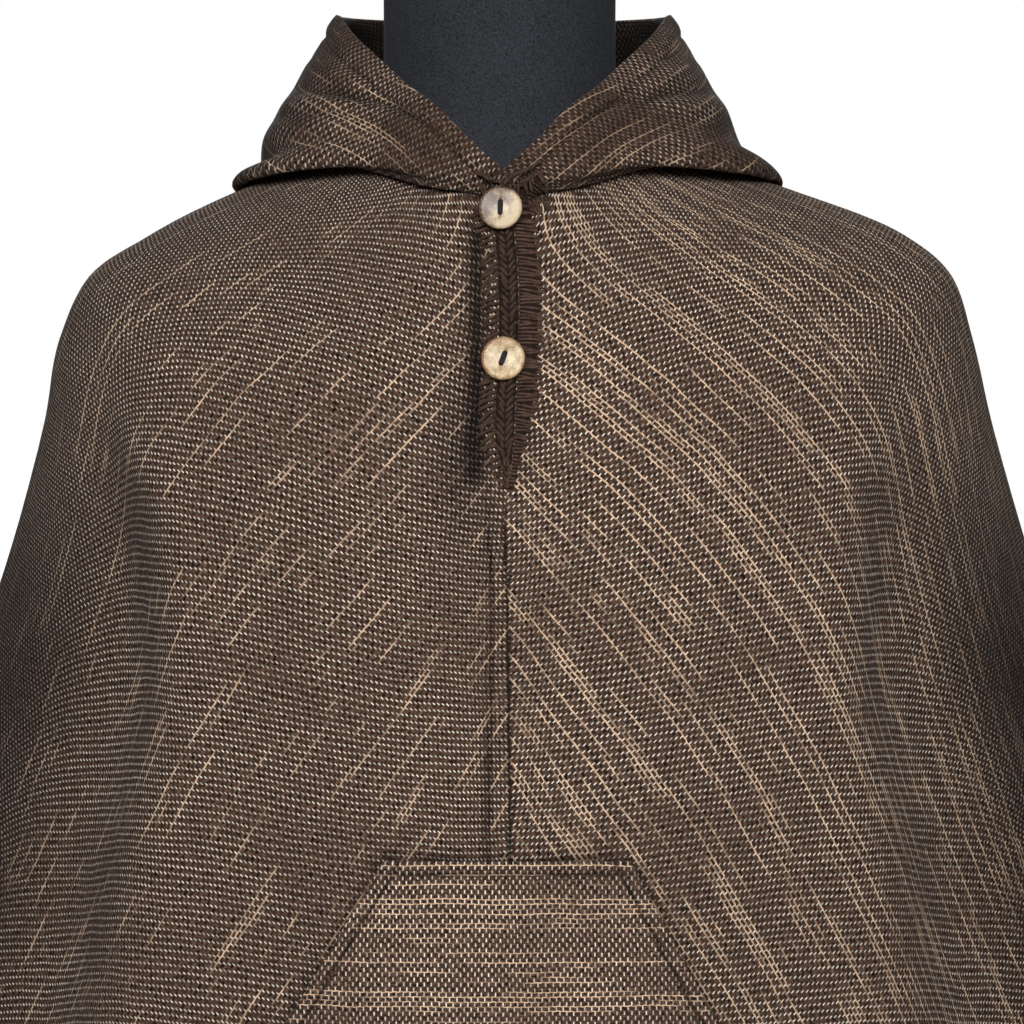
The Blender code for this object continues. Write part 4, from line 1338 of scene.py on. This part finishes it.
def build_trim_band(name, side):
    """Dense ground of a crocheted edge, under its strands."""
    part_way = np.linspace(0, 1, 121)[:, None]
    w = np.linspace(0, 1, 13)[None]
    t = t_at_height(TRIM_TOP + (TRIM_BOTTOM - TRIM_TOP) * part_way) + 0 * w
    x = SIDES[side] * (SLIT_GAP / 2 + trim_width(name, part_way) * w) * MM
    under = front_point(x, t, SEAM_GAP)
    top = front_point(x, t, SEAM_GAP + TRIM_BAND_HEIGHT * np.sin(math.pi * (w + 0.12) / 1.24) + 0 * t)
    if side == "left":
        top, under = top[:, ::-1], under[:, ::-1]
    return cloth_wall(f"{name}_band", top, under, np.stack([x, t], -1))


def trim_spots(name, side, pitch, part_across):
    """Heights down a crocheted edge, with the x that is a part of its width from the slit."""
    heights = np.arange(TRIM_TOP - 1, TRIM_BOTTOM, -pitch)
    width = trim_width(name, (heights - TRIM_TOP) / (TRIM_BOTTOM - TRIM_TOP))
    x = SIDES[side] * (SLIT_GAP / 2 + width * part_across) + centre_x(t_at_height(heights)) / MM
    return np.stack([x, heights], -1), width / TRIM_WIDTH


def build_chain(grown, cloth, wool):
    """Knitted-looking column of V links down the left edge."""
    at, size = trim_spots("slit_braid", "left", LINK_PITCH, 0.5)
    places = cloth.spots(at, np.array([[0.0, -1.0]] * len(at)), lift=0.2 * MM)
    wide = size > 0.75
    pieces = []
    rows = ("braid_links", wide, 1.0, 0.9), ("braid_end_links", ~wide, 0.5, 0.75)
    for name, chosen, squeeze, radius in rows:
        path = [(x, y * squeeze, z) for x, y, z in V_LINK]
        shape = joined([yarn_shape(path, radius), yarn_shape(mirrored(path), radius)])
        chosen_places = [values[chosen] for values in places]
        pieces.append(grown.place(name, shape, chosen_places, wool, turn=0.26, size_change=0.17, seed=11))
    return pieces


def build_blanket_strands(grown, cloth, wool):
    """Close strands round the right edge, from the slit to a row of holes in the cloth."""
    at, size = trim_spots("slit_blanket_edge", "right", STRAND_PITCH, 0.0)
    places = cloth.spots(at, np.array([[1.0, -0.06]] * len(at)), reach=size * 1.08, lift=0.5 * MM)
    return grown.place(
        "blanket_strands", yarn_shape(STRAND, 0.66), places, wool, turn=0.17, size_change=0.14, seed=23
    )


def build_stubs(grown, cloth, wool):
    """Slanting ends of the yarn that holds the braid, and the outer ends on the right."""
    at, size = trim_spots("slit_braid", "left", STUB_PITCH, 1.02)
    left = cloth.spots(at, np.array([[-1.0, -0.62]] * len(at)), reach=1.0 * size, lift=0.35 * MM)
    at, size = trim_spots("slit_blanket_edge", "right", STUB_PITCH * 0.9, 0.9)
    right = cloth.spots(at, np.array([[1.0, -0.35]] * len(at)), reach=0.34 * size, lift=0.0)
    thick, thin = yarn_shape(STRAND, 0.9), yarn_shape(STRAND, 0.6)
    return [
        grown.place("braid_stubs", thick, left, wool, turn=0.3, size_change=0.16, seed=31),
        grown.place("blanket_stubs", thin, right, wool, turn=0.36, size_change=0.18, seed=37),
    ]


def build_neck_crochet(grown, cloth, wool):
    """Rows of loops round the point of the neckline, and strands that hang from them."""
    pieces = []
    for name, line, pitch in NECK_ROWS:
        pieces.append(grown.place(
            name, yarn_shape(LOOP, 1.0), cloth.line(line, pitch, lift=0.5 * MM), wool,
            turn=0.45, size_change=0.12, seed=len(name),
        ))
    for name, line, pitch, direction, reach in NECK_STRANDS:
        points, _, facing, ones = cloth.line(line, pitch, lift=0.3 * MM)
        along = np.array([[direction[0], 0.0, direction[1]]] * len(points))
        along = unit(along - facing * (along * facing).sum(-1, keepdims=True))
        pieces.append(grown.place(
            name, yarn_shape(STRAND, 0.75), (points, along, facing, ones * reach), wool,
            turn=0.22, size_change=0.14, seed=len(name) + 3,
        ))
    return pieces


def build_stitches(grown, cloth, thread):
    """Sewing that shows: the front seam's second row and the pocket's hems."""
    return [
        grown.place(
            name, yarn_shape(STITCH, 0.34, 7, 5), cloth.line(line, pitch, lift=0.1 * MM), thread,
            turn=0.12, size_change=0.1, seed=len(name),
        )
        for name, line, pitch in STITCHED_LINES
    ]


# Buttons, form and stand ------------------------------------------------------------
def lathe(name, profile, sides, frame=Matrix()):
    """Closed turned shape from (radius, height) places, first and last on its axis."""
    turns = np.linspace(0, math.tau, sides, endpoint=False)
    verts = [(0, 0, profile[0][1])]
    for radius, height in profile[1:-1]:
        verts += [(radius * math.cos(turn), radius * math.sin(turn), height) for turn in turns]
    verts.append((0, 0, profile[-1][1]))
    last = len(verts) - 1
    faces = []
    rings = len(profile) - 2
    for k in range(sides):
        after = (k + 1) % sides
        faces.append((0, 1 + after, 1 + k))
        faces.append((last, last - sides + k, last - sides + after))
        for i in range(rings - 1):
            low, high = 1 + i * sides, 1 + (i + 1) * sides
            faces.append((low + k, low + after, high + after, high + k))
    return new_mesh(name, [tuple(frame @ Vector(vert)) for vert in verts], faces)


def rounded(profile, steps=4):
    """Corner-cut profile: each inner corner becomes a short curve."""
    profile = [np.array(place, float) for place in profile]
    out = [profile[0]]
    for before, corner, after in zip(profile, profile[1:], profile[2:]):
        reach = min(np.linalg.norm(before - corner), np.linalg.norm(after - corner), 3 * MM) * 0.4
        start = corner + unit(before - corner) * reach
        end = corner + unit(after - corner) * reach
        for u in np.linspace(0, 1, steps):
            out.append(start * (1 - u) ** 2 + corner * 2 * u * (1 - u) + end * u * u)
    out.append(profile[-1])
    return [tuple(place) for place in out]


def button_frame(node):
    """Place and way round of a button, from the frame's own disc: its axis points forwards."""
    points = np.array([node.matrix_world @ vertex.co for vertex in node.data.vertices])
    middle = points.mean(axis=0)
    axis = np.linalg.svd(points - middle, full_matrices=False)[2][2]
    axis = axis if axis[1] < 0 else -axis
    depths = (points - middle) @ axis
    middle = middle + axis * (depths.max() + depths.min()) / 2
    across = unit(np.cross([0, 0, 1], axis))
    return Matrix.Translation(middle) @ Matrix(np.stack([across, np.cross(axis, across), axis], 1)).to_4x4()


def build_button(name, frame, lean):
    """Coconut shell disc with two drilled holes."""
    r = BUTTON_RADIUS
    profile = rounded((
        (0, -1.6), (r - 2.2, -1.6), (r - 0.7, -1.1), (r, 0), (r - 0.5, 1.1), (r - 1.6, 1.6),
        (r - 3.4, 1.3), (r * 0.35, 0.8), (0, 0.8),
    ))
    disc = lathe(name, [(radius * MM, height * MM) for radius, height in profile], 72, frame)
    for sign in (-1, 1):
        place = Matrix.Rotation(lean, 4, "Z") @ Matrix.Translation((0, sign * BUTTON_HOLE_OFF * MM, 0))
        radius, reach = BUTTON_HOLE * MM, 4 * MM
        bit = [(0, -reach), (radius, -reach), (radius, reach), (0, reach)]
        drill = lathe("drill", bit, 20, frame @ place)
        cut = disc.modifiers.new("hole", "BOOLEAN")
        cut.operation, cut.solver, cut.object = "DIFFERENCE", "EXACT", drill
        mesh = bpy.data.meshes.new_from_object(disc.evaluated_get(bpy.context.evaluated_depsgraph_get()))
        disc.modifiers.remove(cut)
        disc.data = mesh
        bpy.data.objects.remove(drill, do_unlink=True)
    disc.data.shade_smooth()
    return disc


def build_button_thread(name, frame, lean, depth):
    """Four turns of thread through the holes, and the shank behind that holds the button."""
    turned = frame @ Matrix.Rotation(lean, 4, "Z")
    strands = []
    for k, across in enumerate((-0.95, -0.32, 0.32, 0.95)):
        off = BUTTON_HOLE_OFF * (1 + 0.04 * math.sin(k * 2.1))
        bar = [
            (across * 0.6, -off - 0.5, -1.6), (across * 0.85, -off - 0.25, 0.7), (across, -off * 0.4, 1.45),
            (across, off * 0.4, 1.5), (across * 0.85, off + 0.25, 0.7), (across * 0.6, off + 0.5, -1.6),
        ]
        shank = [(across * 0.7, off * pull, -z) for pull, z in ((1.0, 1.5), (0.35, 2.4), (0.2, depth))]
        for path in (bar, shank, [(x, -y, z) for x, y, z in shank]):
            path = smooth(np.arange(len(path)), np.array(path), np.linspace(0, len(path) - 1, 15))
            path = np.array([turned @ Vector(point * MM) for point in path])
            strands.append(tube(path, 0.5 * MM, 8))
    return new_mesh(name, *joined(strands))


def form_rings():
    """Close rings of the dress form, from the neck's top to below the chest."""
    turns = np.linspace(0, math.tau, 121)[:-1]
    side = np.where(turns <= math.pi, "right", "left")
    angle = np.where(turns <= math.pi, turns, math.tau - turns)

    def both_sides(points):
        return np.where((side == "right")[:, None], points("right"), points("left"))

    def ellipse(values):
        row = dict(zip(FORM_COLUMNS, values))
        return both_sides(lambda name: ring_points(row, name, angle))

    def shoulder(t):
        inset = FORM_INSET + FORM_CHEST_INSET * np.cos(angle) ** 2 * ramp(t, 0, 0.12)
        return both_sides(
            lambda name: body_base(name, angle, t) - body_normal(name, angle, t) * inset[:, None]
        )

    shoulders = [shoulder(np.full(len(angle), t)) for t in np.linspace(0, 0.16, 17)]
    neck = np.array([ellipse(row) for row in FORM_NECK] + shoulders[:1])
    torso = np.array(shoulders[-1:] + [ellipse(row) for row in FORM_TORSO])
    neck = smooth(np.arange(len(neck)), neck, np.linspace(0, len(neck) - 1, 22))[:-1]
    torso = smooth(np.arange(len(torso)), torso, np.linspace(0, len(torso) - 1, 60))[1:]
    return np.concatenate([neck, shoulders, torso])


def end_cap(ring, sign, depth=3 * MM):
    """Rings that round a form's end over and close it."""
    middle = ring.mean(axis=0)
    size = np.linalg.norm(ring - middle, axis=1, keepdims=True)
    rings = []
    for u in (0.35, 0.7, 1.0):
        pull = depth * (1 - math.cos(u * math.pi / 2))
        rings.append(ring + (middle - ring) / size * pull + [0, 0, sign * depth * math.sin(u * math.pi / 2)])
    flat = rings[-1].copy()
    return rings + [middle * (1 - s) + flat * s + [0, 0, sign * depth * (1 - s)] for s in (0.8, 0.45, 0.03)]


def build_form():
    rings = form_rings()
    rings[0] -= [0, 0, 3 * MM]
    top = end_cap(rings[0], 1)[::-1]
    bottom = end_cap(rings[-1], -1)
    rings = np.array([*top, *rings, *bottom])
    rows, columns = rings.shape[:2]
    number = np.arange(rows * columns).reshape(rows, columns)
    quads = grid_quads(np.concatenate([number, number[:, :1]], axis=1))
    return new_mesh("form_cover", rings.reshape(-1, 3), [*quads, number[0], number[-1][::-1]])


def build_stand_piece(name, node, profile):
    low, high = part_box(node)
    return lathe(name, rounded([(radius, height) for radius, height in profile(low, high)], 6), 96)


def base_profile(low, high):
    radius, edge = (high[0] - low[0]) / 2, 6 * MM
    plate = high[2] - 3 * edge
    return (
        (0, 0), (radius - 2 * MM, 0), (radius, 2 * MM), (radius, plate / 2 - 2 * MM),
        (radius - edge, plate / 2 + 2 * MM), (34 * MM, plate), (25 * MM, plate + edge),
        (22 * MM, high[2]), (0, high[2]),
    )


def pole_profile(low, high):
    return (
        (0, low[2]), (14 * MM, low[2]), (14 * MM, high[2] - 12 * MM), (34 * MM, high[2] - 6 * MM),
        (34 * MM, high[2]), (0, high[2]),
    )


# Studio -----------------------------------------------------------------------------
AMBIENT = 0.055
LIGHTS = (
    # name, place, size, power, spread in degrees
    ("left_softbox", (-0.5, -3.0, 2.1), 0.8, 3.3, 44),
    ("right_softbox", (0.55, -3.0, 2.0), 0.8, 2.75, 44),
    ("back_softbox", (0.0, 3.0, 1.9), 1.8, 60, 180),
)
LIGHTS_AIM = (0, 0, 1.1)
FLOOR_LIGHTS = 6
FLOOR_LIGHT_RING = 1.7
FLOOR_LIGHT_HEIGHT = 2.2
FLOOR_LIGHT_SIZE = 0.5
FLOOR_LIGHT_POWER = 2.2
FLOOR_LIGHT_SPREAD = 66
FLOOR_HALF = 3.0
CAMERA_PLACE = (0.0047, -3.13, 1.12)
CAMERA_LENS = 202.8         # on a sensor 36 mm wide


def add_camera():
    data = bpy.data.cameras.new("camera")
    data.lens = CAMERA_LENS
    data.sensor_width = 36
    camera = bpy.data.objects.new("camera", data)
    camera.location = CAMERA_PLACE
    camera.rotation_euler = (math.radians(90), 0, 0)
    bpy.context.scene.collection.objects.link(camera)
    bpy.context.scene.camera = camera


def add_light(name, place, aim, size, power, spread):
    data = bpy.data.lights.new(name, "AREA")
    data.size = size
    data.energy = power
    data.spread = math.radians(spread)
    light = bpy.data.objects.new(name, data)
    light.location = place
    light.rotation_euler = (Vector(aim) - Vector(place)).to_track_quat("-Z", "Y").to_euler()
    bpy.context.scene.collection.objects.link(light)


def add_floor_lights():
    """Narrow lights round the stand that reach only the floor."""
    for k in range(FLOOR_LIGHTS):
        turn = math.tau * (k + 0.5) / FLOOR_LIGHTS
        x, y = FLOOR_LIGHT_RING * math.sin(turn), FLOOR_LIGHT_RING * math.cos(turn)
        place, aim = (x, y, FLOOR_LIGHT_HEIGHT), (x, y, 0)
        add_light(f"floor_light_{k}", place, aim, FLOOR_LIGHT_SIZE, FLOOR_LIGHT_POWER, FLOOR_LIGHT_SPREAD)


def set_stage():
    world = bpy.data.worlds.new("studio")
    world.use_nodes = True
    nodes, links = world.node_tree.nodes, world.node_tree.links
    seen = nodes.new("ShaderNodeLightPath").outputs["Is Camera Ray"]
    strength = nodes.new("ShaderNodeMapRange")
    strength.inputs["To Min"].default_value = AMBIENT
    strength.inputs["To Max"].default_value = 1.0
    links.new(seen, strength.inputs["Value"])
    links.new(strength.outputs["Result"], nodes["Background"].inputs["Strength"])
    nodes["Background"].inputs["Color"].default_value = (1, 1, 1, 1)
    bpy.context.scene.world = world
    bpy.context.scene.view_settings.view_transform = "Standard"
    for name, place, size, power, spread in LIGHTS:
        add_light(name, place, LIGHTS_AIM, size, power, spread)
    add_floor_lights()
    half = FLOOR_HALF
    corners = (-half, -half, 0), (half, -half, 0), (half, half, 0), (-half, half, 0)
    floor = new_mesh("floor", corners, [(0, 1, 2, 3)])
    floor.data.materials.append(matte_floor())


def add(piece, slot, *nodes, material=None):
    if material is not None:
        piece.data.materials.clear()
        piece.data.materials.append(material)
    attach(piece, "root")
    if nodes:
        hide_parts(*nodes)
    return piece


def add_buttons(frame):
    thread = black_thread()
    for name, pale, brown, stain_and_highlight_lean, lean, depth in BUTTONS:
        place = button_frame(frame["nodes"][name])
        shell = coconut_shell(f"{name}_shell", srgb(*pale), srgb(*brown), tuple(place.translation), stain_and_highlight_lean)
        add(build_button(f"{name}_disc", place, lean), "coconut", name, material=shell)
        add(build_button_thread(f"{name}_thread", place, lean, depth), None, material=thread)


def add_stand():
    paint = satin_paint()
    form = add(build_form(), "form_fabric", "form_torso", material=black_jersey())
    stand = ("stand_pole", "form_pole", pole_profile), ("stand_base", "form_base", base_profile)
    for name, node, profile in stand:
        add(build_stand_piece(name, node, profile), "stand_metal", node, material=paint)
    return form


def add_edges(cloth):
    """The crocheted edges and sewing; returns what is worked onto each half of the body."""
    grown = Grown()
    braid = crochet_wool("braid_wool", srgb(30, 20, 15), srgb(112, 87, 73))
    blanket = crochet_wool("blanket_wool", srgb(38, 26, 21), srgb(128, 99, 85))
    # Ground of the crocheted edges in darker wool than the strands: partly its yarn, partly painted shade
    # between the strands
    shaded_ground = crochet_wool("shaded_ground_wool", srgb(16, 11, 8), srgb(58, 43, 35))
    bands = [
        add(build_trim_band(name, side), "crochet", name, material=shaded_ground)
        for name, side in (("slit_braid", "left"), ("slit_blanket_edge", "right"))
    ]
    chain = build_chain(grown, cloth, braid)
    strands = build_blanket_strands(grown, cloth, blanket)
    left_stubs, right_stubs = build_stubs(grown, cloth, braid)
    for piece in (*chain, strands, left_stubs, right_stubs, *build_neck_crochet(grown, cloth, braid)):
        add(piece, "crochet")
    for piece in build_stitches(grown, cloth, braid):
        add(piece, "crochet")
    return {"left": [bands[0], *chain, left_stubs], "right": [bands[1], strands, right_stubs]}


def main():
    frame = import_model()
    add_camera()
    set_stage()
    tree = body_tree()
    left = add(build_panel("left"), "cloth", "body_left", material=woven_wool("left_weave"))
    right = add(build_panel("right"), "cloth", "body_right", material=woven_wool("right_weave"))
    hood = add(build_hood(tree), "cloth", "hood", material=woven_wool("hood_weave"))
    pocket = add(build_pocket(tree), "cloth", "pocket", material=woven_wool("pocket_weave"))
    edges = add_edges(Surface(left, right, hood, pocket))
    add_buttons(frame)
    add_stand()


main()
